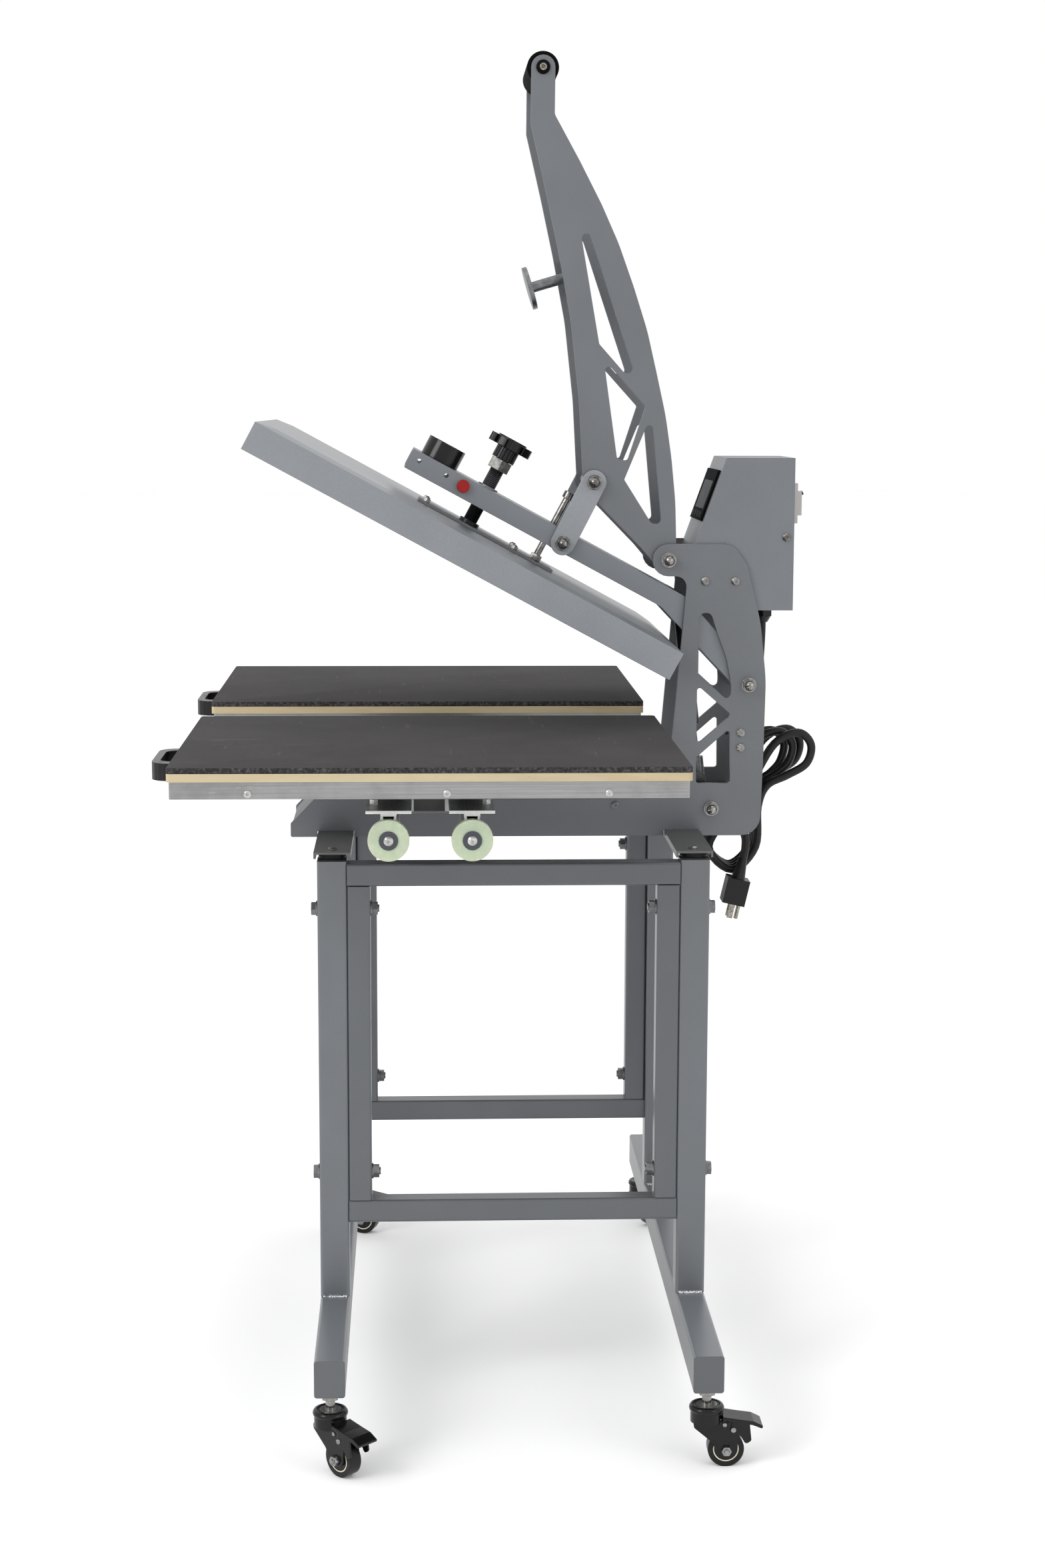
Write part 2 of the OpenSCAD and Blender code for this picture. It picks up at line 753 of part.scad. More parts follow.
module foot_channels() {
  color(paint) placed() both_y() difference() {
    translate([0, leg_mid, 0]) upright_mid(channel_len) polygon([
      [-channel_w / 2, channel_top - channel_t - channel_lip], [-channel_w / 2, channel_top],
      [channel_w / 2, channel_top], [channel_w / 2, channel_top - channel_t - channel_lip],
      [channel_w / 2 - channel_t, channel_top - channel_t - channel_lip],
      [channel_w / 2 - channel_t, channel_top - channel_t],
      [-channel_w / 2 + channel_t, channel_top - channel_t],
      [-channel_w / 2 + channel_t, channel_top - channel_t - channel_lip]]);
    both_x() translate([rubber_x, leg_mid, channel_top - channel_t - over])
      cylinder(d = foot_screw_d + 2 * fit, h = channel_t + 2 * over, $fn = small_fn);
  }
}

module rubber_feet() {
  color(black) placed() both_x() both_y() difference() {
    translate([rubber_x, leg_mid, leg_top]) cylinder(d = rubber_d, h = rubber_h);
    translate([rubber_x, leg_mid, leg_top - over])
      cylinder(d = foot_screw_d + 2 * fit, h = rubber_h + 2 * over, $fn = small_fn);
  }
}

// Casters, each built with its stem on the Z axis and its wheel trailing along Y

module caster_at(c) {
  placed() translate([c.x * stem_x, c.y * leg_mid, 0]) rotate([0, 0, c.z]) children();
}

module caster_stems() {
  color(steel) for (side = [-1, 1], end = [-1, 1]) caster_at([side, end, 0]) {
    raise(housing_top) cylinder(d = stem_d, h = caster_h + stem_rise - housing_top);
    raise(caster_h - jam_h) difference() {
      cylinder(d = stem_d * nut_share, h = jam_h, $fn = 6);
      raise(-over) cylinder(d = stem_d + 2 * fit, h = jam_h + 2 * over);
    }
    raise(housing_low + gap) cylinder(d = race_d, h = housing_top - housing_low - gap);
  }
}

module fork() {
  difference() {
    raise(housing_low) cylinder(d = housing_d, h = housing_top - gap - housing_low);
    raise(housing_low - over)
      cylinder(d = race_d + 2 * fit, h = housing_top - housing_low + 2 * over);
  }
  raise(housing_low - cheek_t) cylinder(d = housing_d, h = cheek_t);
  difference() {
    both_x() upright(cheek_in, cheek_t) polygon(rounded(cheek_points * caster_scale));
    at_yz([caster_trail, wheel_d / 2]) x_hole(axle_d, -housing_d, housing_d);
  }
  at_yz([caster_trail, wheel_d / 2]) {
    x_rod(axle_d, -cheek_in - cheek_t, cheek_in + cheek_t);
    both_x() translate([cheek_in + cheek_t, 0, 0]) rotate([0, 90, 0])
      cylinder(d = axle_d * nut_share, h = axle_d * head_share / 2, $fn = 6);
  }
  both_x() at_yz(pedal_pin * caster_scale)
    x_rod(axle_d / 2, cheek_in + cheek_t, cheek_in + cheek_t + ear_gap + ear_t + over);
}

module wheel() {
  at_yz([caster_trail, wheel_d / 2]) difference() {
    union() {
      x_rod(wheel_d, -wheel_w / 2, wheel_w / 2);
      x_rod(axle_d * 2, -cheek_in + gap, cheek_in - gap);
    }
    both_x() translate([wheel_w / 2 - ring_deep, 0, 0]) rotate([0, 90, 0]) difference() {
      cylinder(d = wheel_d * ring_out_share, h = ring_deep + over);
      raise(-over) cylinder(d = wheel_d * ring_in_share, h = ring_deep + 3 * over);
    }
    x_hole(axle_d, -wheel_w, wheel_w);
  }
}

module pedal() {
  difference() {
    upright_mid(pedal_w) polygon(rounded(pedal_points * caster_scale));
    cylinder(d = housing_d + 2 * gap, h = caster_h);
  }
  both_x() difference() {
    upright(cheek_in + cheek_t + ear_gap, ear_t) polygon(rounded(ear_points * caster_scale));
    at_yz(pedal_pin * caster_scale) x_hole(axle_d / 2, -housing_d, housing_d);
  }
}

module right_front_fork() { color(black) caster_at(right_front) fork(); }
module right_front_wheel() { color(black) caster_at(right_front) wheel(); }
module right_front_pedal() { color(black) caster_at(right_front) pedal(); }
module right_rear_fork() { color(black) caster_at(right_rear) fork(); }
module right_rear_wheel() { color(black) caster_at(right_rear) wheel(); }
module right_rear_pedal() { color(black) caster_at(right_rear) pedal(); }
module left_front_fork() { color(black) caster_at(left_front) fork(); }
module left_front_wheel() { color(black) caster_at(left_front) wheel(); }
module left_front_pedal() { color(black) caster_at(left_front) pedal(); }
module left_rear_fork() { color(black) caster_at(left_rear) fork(); }
module left_rear_wheel() { color(black) caster_at(left_rear) wheel(); }
module left_rear_pedal() { color(black) caster_at(left_rear) pedal(); }

// Base and column

module side_plate_outline() {
  difference() {
    polygon(rounded(concat(
      [[plate_front, base_low, heel_r]],
      on_plate(side_plate_rear_shares),
      [[lever_pivot.x - ear_r, column_top, ear_r * ear_round_share],
        [lever_pivot.x - ear_r, lever_pivot.y - ear_r, ear_r * ear_round_share]],
      on_plate([throat_shares]),
      [[plate_front + column_foot_share * base_len, base_top, throat_r],
        [plate_front + nose_share * base_len, base_top, heel_r],
        [plate_front, base_low + nose_rise, heel_r]])));
    for (y = [-leg_mid, leg_mid]) translate([y, base_low + notch_h / 2])
      square([channel_w + 2 * notch_gap, notch_h], center = true);
    for (w = [upper_window_shares, middle_window_shares, lower_window_shares]) polygon(rounded(on_plate(w)));
    for (p = [lever_pivot, arm_pivot, tie_pivot]) translate(p) circle(d = shaft_d + 2 * fit);
    for (p = concat(box_screws, plate_screws)) translate(p) circle(d = bolt_d + 2 * fit, $fn = small_fn);
    for (y = cover_ys) translate([y, base_top - cover_flange / 2])
      circle(d = bolt_d + 2 * fit, $fn = small_fn);
  }
}

module right_side_plate() { color(paint) placed() upright(plate_in, plate_t) side_plate_outline(); }
module left_side_plate() { color(paint) placed() upright(-plate_out, plate_t) side_plate_outline(); }

// Bent sheet between the side plates, with the bracket that carries the foot of the gas strut
module base_cover() {
  drop = cover_t * bevel_share;
  nose_y = plate_front + nose_share * base_len;
  color(paint) placed() {
    difference() {
      union() {
        upright_mid(plate_gap) polygon([
          [plate_front + heel_r, base_low], [plate_front + heel_r, base_low + nose_rise], [nose_y, base_top],
          [cover_rear, base_top], [cover_rear, base_top - cover_t], [nose_y + drop, base_top - cover_t],
          [plate_front + heel_r + cover_t, base_low + nose_rise - drop],
          [plate_front + heel_r + cover_t, base_low]]);
        both_x() translate([plate_in - cover_t, cover_ys[0] - cover_flange, base_top - cover_flange])
          cube([cover_t, cover_ys[1] - cover_ys[0] + 2 * cover_flange, cover_flange]);
      }
      both_x() for (y = cover_ys) at_yz([y, base_top - cover_flange / 2])
        x_hole(bolt_d, plate_in - 2 * cover_t, plate_in);
      both_x() for (y = tray_screw_ys) translate([tray_screw_x, y, base_top - cover_t - over])
        cylinder(d = bolt_d + 2 * fit, h = cover_t + 2 * over, $fn = small_fn);
    }
  }
}

// Clevis that carries the foot of the gas strut
module strut_clevis() {
  difference() {
    union() {
      both_x() upright(clevis_in, cover_t) {
        translate(strut_foot) circle(r = shaft_d);
        translate([strut_foot.x - shaft_d, base_top]) square([2 * shaft_d, strut_foot.y - base_top]);
      }
      translate([-clevis_in - cover_t, strut_foot.x - shaft_d, base_top])
        cube([2 * (clevis_in + cover_t), 2 * shaft_d, cover_t]);
    }
    at_yz(strut_foot) x_hole(shaft_d, -clevis_in - cover_t, clevis_in + cover_t);
  }
}

// Sheet across the base that carries the four bearing blocks
module bearing_tray() {
  color(paint) placed() difference() {
    translate([-tray_len / 2, platen_y - tray_w / 2, base_top]) cube([tray_len, tray_w, tray_t]);
    both_x() {
      for (y = tray_screw_ys) translate([tray_screw_x, y, base_top - over])
        cylinder(d = bolt_d + 2 * fit, h = tray_t + 2 * over, $fn = small_fn);
      for (y = [-1, 1], x = [-1, 1]) translate([block_out - block_l / 2 + x * block_l * block_hole_share,
        platen_y + y * rail_gap / 2, base_top - over])
        cylinder(d = bolt_d + 2 * fit, h = tray_t + 2 * over, $fn = small_fn);
    }
  }
}

// Open bearing blocks that wrap the rail shafts from below
module bearing_blocks() {
  low = base_top + tray_t;
  color(steel) placed() both_x() for (y = [-1, 1])
    translate([block_out - block_l, platen_y + y * rail_gap / 2, 0]) difference() {
      translate([0, -block_w / 2, low]) cube([block_l - gap, block_w, rail_z + block_rise - low]);
      raise(rail_z) x_hole(rail_d, 0, block_l);
      translate([-over, -block_slot / 2, rail_z]) cube([block_l + 2 * over, block_slot, block_rise + over]);
      for (x = [-1, 1]) translate([block_l / 2 + x * block_l * block_hole_share, 0, low - over])
        cylinder(d = bolt_d + 2 * fit, h = rail_z - low, $fn = small_fn);
    }
}

// Shafts through the side plates, with the tie bolt, the strut foot pin and their spacer tubes
module cross_shafts() {
  end = plate_out + shaft_d * washer_t_share + shaft_d * nut_h_share;
  color(steel) placed() {
    for (p = [lever_pivot, arm_pivot, tie_pivot]) at_yz(p) x_rod(shaft_d, -end, end);
    at_yz(strut_foot) x_rod(shaft_d, -clevis_in - 2 * cover_t, clevis_in + 2 * cover_t);
    at_yz(tie_pivot) difference() {
      x_rod(shaft_d * spacer_share, -plate_in, plate_in);
      x_hole(shaft_d, -plate_in, plate_in);
    }
    strut_clevis();
  }
}

// Acorn nuts and washers on the ends of the shafts, and the washers between the moving plates
module acorn_nuts() {
  thick = shaft_d * washer_t_share;
  color(steel) placed() both_x() {
    for (p = [lever_pivot, arm_pivot, tie_pivot]) at_yz(p) {
      translate([plate_out, 0, 0]) rotate([0, 90, 0]) washer(shaft_d * washer_share, shaft_d);
      translate([plate_out + thick, 0, 0]) rotate([0, 90, 0]) acorn(shaft_d);
    }
    for (p = [lever_pivot, arm_pivot]) at_yz(p) difference() {
      x_rod(shaft_d * washer_share, lever_side + gap, plate_in);
      x_hole(shaft_d, lever_side, plate_in);
    }
  }
}

// Small screws of the base, box, tray and blocks
module column_screws() {
  low = base_top + tray_t;
  color(steel) placed() both_x() {
    for (p = box_screws) at_yz(p) translate([plate_out, 0, 0]) rotate([0, 90, 0])
      round_screw(bolt_d, plate_t + gap + box_t + box_nut_h);
    for (p = plate_screws) at_yz(p) translate([plate_out, 0, 0]) rotate([0, 90, 0])
      round_screw(bolt_d, plate_t);
    for (y = cover_ys) at_yz([y, base_top - cover_flange / 2]) translate([plate_out, 0, 0])
      rotate([0, 90, 0]) round_screw(bolt_d, plate_t + cover_t);
    for (y = tray_screw_ys) translate([tray_screw_x, y, low]) round_screw(bolt_d, tray_t + cover_t);
    both_y() translate([rubber_x, leg_mid, channel_top])
      round_screw(foot_screw_d, channel_t + rubber_h + cap_t);
    for (y = [-1, 1], x = [-1, 1]) translate([block_out - block_l / 2 + x * block_l * block_hole_share,
      platen_y + y * rail_gap / 2, base_top]) rotate([180, 0, 0])
      round_screw(bolt_d, tray_t + block_screw_in);
  }
}

// Shuttle, built with both platens at equal distances from the middle

module shuttle_plate() {
  color(paint) placed() difference() {
    translate([-shuttle_len / 2, platen_y - shuttle_w / 2, shuttle_low])
      cube([shuttle_len, shuttle_w, shuttle_t]);
    for (x = rail_screw_xs, y = [-1, 1])
      translate([x, platen_y + y * (rail_gap / 2 + rail_screw_y), shuttle_low - over])
        cylinder(d = bolt_d + 2 * fit, h = shuttle_t + 2 * over, $fn = small_fn);
  }
}

// Round shafts under flanged supports
module linear_rails() {
  top = rail_z + rail_rise;
  color(steel) placed() for (y = [-1, 1]) translate([0, platen_y + y * rail_gap / 2, 0]) difference() {
    upright_mid(rail_len) {
      translate([0, rail_z]) circle(d = rail_d);
      translate([-flange_w / 2, top - flange_t]) square([flange_w, flange_t]);
      difference() {
        polygon([[-web_w, top - flange_t], [web_w, top - flange_t], [rail_d * web_foot_share, rail_z],
          [-rail_d * web_foot_share, rail_z]]);
        polygon([[-web_w + web_t, top - flange_t - web_t], [web_w - web_t, top - flange_t - web_t],
          [rail_d * web_foot_share - web_t, rail_z + rail_d / 2 + gap],
          [web_t - rail_d * web_foot_share, rail_z + rail_d / 2 + gap]]);
      }
    }
    for (x = rail_screw_xs) translate([x, y * rail_screw_y, top - flange_t - over])
      cylinder(d = bolt_d + 2 * fit, h = flange_t + 2 * over, $fn = small_fn);
    both_x() translate([rail_len / 2, 0, rail_z]) x_hole(bolt_d, -bumper_screw_in, 0);
  }
}

// Screws from below with stacked nuts between the rails and the shuttle plate
module shuttle_screws() {
  top = rail_z + rail_rise;
  nut_h = (nut_space - gap) / 2;
  color(steel) placed() {
    for (x = rail_screw_xs, y = [-1, 1])
      translate([x, platen_y + y * (rail_gap / 2 + rail_screw_y), 0]) {
        raise(top - flange_t) rotate([180, 0, 0])
          round_screw(bolt_d, flange_t + nut_space + shuttle_t);
        for (z = [top, top + nut_h + gap]) raise(z) difference() {
          cylinder(d = bolt_d * nut_share, h = nut_h, $fn = 6);
          raise(-over) cylinder(d = bolt_d + 2 * fit, h = nut_h + 2 * over, $fn = small_fn);
        }
      }
    both_x() for (y = [-1, 1]) translate([rail_len / 2 + bumper_h, platen_y + y * rail_gap / 2, rail_z])
      rotate([0, 90, 0]) {
        washer(bumper_d * bumper_washer_share, bolt_d);
        raise(bolt_d * washer_t_share)
          round_screw(bolt_d, bumper_h + bumper_screw_in - over);
      }
    both_x() translate([platen_x, 0, 0]) for (y = tray_side_ys, side = [-1, 1])
      translate([side * (platen_w / 2 - tray_inset), platen_y + y, tray_low + bolt_d])
        rotate([0, side * 90, 0]) round_screw(bolt_d * side_screw_share, tray_wall);
  }
}

module rail_bumpers() {
  color("#c9c860") placed() both_x() for (y = [-1, 1])
    translate([rail_len / 2, platen_y + y * rail_gap / 2, rail_z]) difference() {
      x_rod(bumper_d, 0, bumper_h);
      x_hole(bolt_d, 0, bumper_h);
    }
}

// One platen outline, shrunk by the given distance on every side, from z on
module platen_box(inset, z, h, r) {
  translate([platen_x, platen_y, z]) linear_extrude(h)
    rounded_rect(platen_w - 2 * inset, platen_l - 2 * inset, r);
}

module platen_frames() {
  color("#b9bbbd") placed() both_x() {
    difference() {
      platen_box(tray_inset, tray_low, tray_h, heel_r);
      platen_box(tray_inset + tray_wall, tray_low + tray_wall, tray_h, heel_r);
      for (y = tray_side_ys, side = [-1, 1])
        translate([platen_x + side * platen_w / 2, platen_y + y, tray_low + bolt_d])
        x_hole(bolt_d * side_screw_share, -tray_wall - tray_inset, tray_wall + tray_inset);
      for (x = [-1, 1]) translate([platen_x + x * handle_screw_x, platen_front, handle_screw_z])
        y_rod(bolt_d + 2 * fit, -tray_wall, 2 * tray_wall + tray_inset);
    }
  }
}

module platen_boards() {
  color("#fae8c8") placed() both_x() {
    platen_box(0, board_low, board_t, pad_corner_r);
    for (x = [-1, 1], y = [-1, 0, 1])
      translate([platen_x + x * platen_w * block_spread_share - board_block / 2,
        platen_y + y * platen_l * block_spread_share - board_block / 2, tray_low + tray_wall])
        cube([board_block, board_block, tray_h - tray_wall]);
  }
}

module press_pads() { color("#4b494a") placed() both_x() platen_box(0, pad_low, pad_t, pad_corner_r); }

// Black handles on the front of the aluminium frames
module platen_handles() {
  back = platen_front + tray_inset;
  color(black) placed() both_x() translate([platen_x, 0, 0]) {
    difference() {
      raise(handle_low) linear_extrude(handle_h) difference() {
        polygon(rounded([[-handle_l / 2, back, 0], [handle_l / 2, back, 0],
          [handle_l / 2, back - handle_out, handle_out * handle_round_share],
          [-handle_l / 2, back - handle_out, handle_out * handle_round_share]]));
        polygon(rounded([[-handle_l / 2 + handle_foot, back + over, 0],
          [handle_l / 2 - handle_foot, back + over, 0],
          [handle_l / 2 - handle_foot, back - handle_out + handle_bar, handle_out * handle_inner_share],
          [-handle_l / 2 + handle_foot, back - handle_out + handle_bar, handle_out * handle_inner_share]]));
      }
      for (x = [-1, 1]) translate([x * handle_screw_x, back, handle_screw_z])
        y_rod(bolt_d + 2 * fit, -handle_screw_in, over);
    }
    for (x = [-1, 1]) translate([x * handle_screw_x, back, handle_screw_z]) {
      y_rod(bolt_d, -handle_screw_in + gap, tray_wall);
      translate([0, tray_wall, 0])
        y_rod(bolt_d * nut_flat_share, 0, bolt_d * head_share);
    }
  }
}

// Arm, built closed about its pivot and turned to the open position

module arm_frame() { placed() translate([0, arm_pivot.x, arm_pivot.y]) rotate([-open_angle, 0, 0]) children(); }
function ahead(points) = [for (p = points) len(p) > 2 ? [-p.x, p.y, p.z] : [-p.x, p.y]];
// Point where a line from p touches a circle of radius r about the origin, on the given side
function touch(p, r, side) = let (a = atan2(p.y, p.x), b = acos(r / norm(p)))
  r * [cos(a + side * b), sin(a + side * b)];

module arm_side_outline() {
  low = [arm_foot_u, arm_low];
  high = [arm_neck_u, arm_top];
  low_touch = touch(low, hub_r * touch_share, -1);
  high_touch = touch(high, hub_r * touch_share, 1);
  difference() {
    union() {
      polygon(rounded(ahead([[arm_len, arm_top, heel_r], [arm_len, arm_low, heel_r], [low.x, low.y, throat_r],
        [low_touch.x, low_touch.y, 0], [high_touch.x, high_touch.y, 0], [high.x, high.y, throat_r]])));
      circle(r = hub_r);
    }
    circle(d = shaft_d + 2 * fit);
    for (p = [[link_u, link_h], [strut_u, strut_h]]) translate([-p.x, p.y]) circle(d = shaft_d + 2 * fit);
    for (p = arm_holes) translate([-p.x, p.y]) circle(d = bolt_d + 2 * fit, $fn = small_fn);
  }
}

module press_arm() {
  spacer_end = arm_side - arm_t - gap;
  color(paint) arm_frame() {
    difference() {
      union() {
        both_x() upright(arm_side - arm_t, arm_t) arm_side_outline();
        translate([-arm_side + arm_t, -arm_len, arm_top - arm_t])
          cube([arm_w - 2 * arm_t, arm_len - arm_neck_u - throat_r / 2, arm_t]);
      }
      translate([0, -screw_u, arm_low]) cylinder(d = bush_d + 2 * fit, h = arm_h + over);
      translate([0, -magnet_u, arm_low]) cylinder(d = shaft_d + 2 * fit, h = arm_h + over);
      translate([0, -guide_u, arm_low]) cylinder(d = guide_head + 2 * gap, h = arm_h + over);
      at_yz([-button_u, button_h]) x_hole(button_d, arm_side - arm_t, arm_side);
    }
    translate([0, -screw_u, 0]) difference() {
      union() {
        raise(bush_low) cylinder(d = bush_d, h = arm_top + cover_t - bush_low);
        raise(bush_low) cylinder(d = bush_d + 2 * arm_t, h = arm_t);
      }
      cylinder(d = screw_d + 2 * fit, h = arm_top + screw_d);
    }
    // Spacer tubes on the arm's shaft and on each side of the strut's eye
    difference() {
      x_rod(shaft_d * spacer_share, -spacer_end, spacer_end);
      x_hole(shaft_d, -arm_side, arm_side);
    }
    at_yz([-strut_u, strut_h]) both_x() difference() {
      x_rod(shaft_d * spacer_share, strut_side, spacer_end);
      x_hole(shaft_d, 0, arm_side);
    }
  }
  color(steel) arm_frame() {
    at_yz([-strut_u, strut_h]) x_rod(shaft_d, -arm_side, arm_side);
  }
}

module electromagnet() {
  color(black) arm_frame() translate([0, -magnet_u, arm_top]) {
    difference() {
      cylinder(d = magnet_d, h = magnet_h);
      raise(magnet_h - cover_t) difference() {
        cylinder(d = magnet_d * magnet_recess_share, h = 2 * cover_t);
        raise(-over) cylinder(d = magnet_d * magnet_recess_share / 2, h = 3 * cover_t + over);
      }
      raise(-over) cylinder(d = shaft_d + 2 * fit, h = over + magnet_h / 2);
    }
    raise(-arm_t - shaft_d) cylinder(d = shaft_d, h = shaft_d + arm_t + magnet_h / 2);
    raise(-arm_t) rotate([180, 0, 0]) nut(shaft_d);
  }
}

// Push button on the right side of the arm: the round cap and the stem through the arm's side
module push_button() {
  color("#c0302c") arm_frame() at_yz([-button_u, button_h]) {
    x_rod(button_d, arm_side - arm_t - button_d, arm_side + button_travel);
    translate([arm_side + button_travel, 0, 0]) rotate([0, 90, 0]) cylinder(d = button_cap_d, h = button_cap_h);
  }
}

// Lever, standing open

module lever_outline() {
  difference() {
    union() {
      polygon(rounded(on_lever(lever_shares)));
      translate(lever_pivot) circle(r = lever_hub_r);
      translate(crank_pivot) circle(r = lever_hub_r);
    }
    for (w = lever_window_shares) polygon(rounded(on_lever(w)));
    translate(lever_pivot) circle(d = shaft_d + 2 * fit);
    translate(crank_pivot) circle(d = shaft_d + 2 * fit);
    translate(grip_at) circle(d = shaft_d + 2 * fit);
  }
}

module lever_plates() { color(paint) placed() both_x() upright(lever_side - lever_t, lever_t) lever_outline(); }

module lever_grip() {
  inner = lever_side - lever_t;
  color(black) placed() at_yz(grip_at) difference() {
    x_rod(grip_d, -inner, inner);
    both_x() x_hole(shaft_d, inner - grip_d, inner);
  }
  color(steel) placed() at_yz(grip_at) both_x() translate([lever_side, 0, 0]) rotate([0, 90, 0])
    round_screw(shaft_d, lever_t + grip_d / 2);
}

// Cross plate, stud and disc that the electromagnet holds, with the crank pin and the spacer tube of the pivot.
// The plate, stud and disc are set out closed, over the magnet, and turned back with the lever.
module armature() {
  inner = lever_side - lever_t;
  disc_z = arm_pivot.y - lever_pivot.y + arm_top + magnet_h + magnet_gap;
  stud_y = arm_pivot.x - lever_pivot.x - magnet_u;
  color(steel) placed() {
    at_yz(lever_pivot) {
      rotate([-lever_angle, 0, 0]) translate([0, stud_y, disc_z]) {
        cylinder(d = disc_d, h = disc_t);
        raise(disc_t) cylinder(d = stud_d, h = closed_tab_z - disc_t);
        translate([-inner, -plate_tab_w / 2, closed_tab_z]) cube([2 * inner, plate_tab_w, plate_tab_t]);
        raise(closed_tab_z + plate_tab_t) cylinder(d = stud_d, h = stud_d);
      }
      difference() {
        x_rod(shaft_d * spacer_share, -inner, inner);
        x_hole(shaft_d, -inner, inner);
      }
    }
    at_yz(crank_pivot) {
      x_rod(shaft_d, -lever_side - gap, lever_side + gap);
      difference() {
        x_rod(shaft_d * spacer_share, -inner, inner);
        x_hole(shaft_d, -inner, inner);
      }
    }
  }
}

// The two links with their lower pin through the arm, and a nut at each end
module toggle_links() {
  low = opened(link_u, link_h);
  along = unit(crank_pivot - low);
  side = link_r * [-along.y, along.x];
  thick = shaft_d * washer_t_share;
  color("#a9adb2") placed() both_x() upright(link_in, link_t) difference() {
    union() {
      translate(low) circle(r = link_r);
      translate(crank_pivot) circle(r = link_r);
      polygon([low + side, crank_pivot + side, crank_pivot - side, low - side]);
    }
    for (p = [low, crank_pivot]) translate(p) circle(d = shaft_d + 2 * fit);
  }
  color(steel) placed() {
    at_yz(low) x_rod(shaft_d, -link_in - link_t - thick - shaft_d * nut_h_share,
      link_in + link_t + thick + shaft_d * nut_h_share);
    both_x() {
      at_yz(crank_pivot) x_rod(shaft_d, link_in, link_in + link_t + thick + shaft_d * nut_h_share);
      for (p = [low, crank_pivot]) at_yz(p) translate([link_in + link_t, 0, 0]) rotate([0, 90, 0]) {
        washer(shaft_d * washer_share, shaft_d);
        raise(thick) acorn(shaft_d);
      }
    }
  }
}

// Heat head, built closed

// Box with a raised roof; inset shrinks it on every side
module head_body(inset, low) {
  w = head_w / 2 - inset;
  rear = -head_rear_u - inset;
  front = -head_rear_u - head_len + inset;
  side_h = head_top_h - inset;
  top = side_h + roof_rise;
  intersection() {
    upright_mid(2 * w) polygon([[front, low], [front, side_h], [front + roof_inset, top],
      [rear - roof_inset, top], [rear, side_h], [rear, low]]);
    translate([0, rear, 0]) rotate([90, 0, 0]) linear_extrude(rear - front) polygon([[-w, low], [-w, side_h],
      [-w + roof_inset, top], [w - roof_inset, top], [w, side_h], [w, low]]);
  }
}

module head_cover() {
  color(paint) arm_frame() difference() {
    head_body(0, head_low_h);
    head_body(shell_t, head_low_h - over);
    for (u = mount_bolt_us, x = [-1, 1]) translate([x * mount_bolt_x, -u, 0])
      cylinder(d = bolt_d + 2 * fit, h = mount_top + over, $fn = small_fn);
  }
}

// Aluminium plate with its heater cast in
module heating_plate() {
  w = head_w - 2 * shell_t - 2 * heater_gap;
  l = head_len - 2 * shell_t - 2 * heater_gap;
  color("#a4a6a8") arm_frame()
    translate([-w / 2, -head_rear_u - shell_t - heater_gap - l, head_low_h]) cube([w, l, heater_t]);
}

// Insulation between the plate and the cover
module insulation() {
  w = head_w - 2 * shell_t - 2 * heater_t;
  l = head_len - 2 * shell_t - 2 * heater_t;
  color("#d8d2c0") arm_frame() translate([-w / 2, -head_rear_u - shell_t - heater_t - l, head_low_h + heater_t])
    cube([w, l, head_top_h - shell_t - head_low_h - heater_t]);
}

// Strip on the roof with its nuts, the rear bracket and the guide bolt
module head_mount() {
  guide_top = arm_top + guide_lift;
  color(paint) arm_frame() difference() {
    translate([-mount_w / 2, -mount_rear_u - mount_len, mount_low]) cube([mount_w, mount_len, mount_t]);
    translate([0, -screw_u, mount_low + mount_t - cover_t]) cylinder(d = collar_d + 2 * gap, h = mount_t);
    for (u = mount_bolt_us, x = [-1, 1]) translate([x * mount_bolt_x, -u, 0])
      cylinder(d = bolt_d + 2 * fit, h = mount_top + over, $fn = small_fn);
    translate([0, -guide_u, 0]) cylinder(d = shaft_d + 2 * fit, h = mount_top + over, $fn = small_fn);
  }
  color(steel) arm_frame() {
    for (u = mount_bolt_us, x = [-1, 1]) translate([x * mount_bolt_x, -u, 0]) {
      raise(mount_low - shell_t)
        cylinder(d = bolt_d, h = mount_t + shell_t + bolt_d, $fn = small_fn);
      raise(mount_top) nut(bolt_d);
    }
    translate([0, -guide_u, 0]) {
      raise(mount_low) cylinder(d = shaft_d, h = guide_top - mount_low);
      raise(mount_top) nut(shaft_d);
      raise(guide_top) difference() {
        cylinder(d = guide_head, h = shaft_d);
        raise(shaft_d / 2) cylinder(d = shaft_d * side_screw_share, h = shaft_d, $fn = 6);
      }
    }
  }
}

module pressure_screw() {
  color("#2a2a2c") arm_frame() translate([0, -screw_u, 0]) {
    raise(mount_top - cover_t) cylinder(d = collar_d, h = collar_h + cover_t);
    raise(mount_top + collar_h)
      cylinder(d = screw_d, h = knob_low - mount_top - collar_h + knob_hub_h / 2);
    raise(knob_low - nut_stack_h) difference() {
      cylinder(d = screw_d * lock_nut_share, h = nut_stack_h - gap, $fn = 6);
      raise(-over) cylinder(d = screw_d + 2 * fit, h = nut_stack_h + over);
    }
  }
}

// Star knob on the pressure screw
module pressure_knob() {
  color(black) arm_frame() translate([0, -screw_u, knob_low]) difference() {
    union() {
      cylinder(d = knob_hub_d, h = knob_hub_h + knob_h / 2);
      raise(knob_hub_h) {
        cylinder(d = knob_d * knob_core_share, h = knob_h);
        for (i = [0:knob_lobes - 1]) rotate([0, 0, i * 360 / knob_lobes])
          translate([knob_d / 2 - knob_lobe_d / 2, 0, 0]) cylinder(d = knob_lobe_d, h = knob_h);
      }
    }
    raise(-over) cylinder(d = screw_d + 2 * fit, h = knob_hub_h / 2 + over);
  }
}

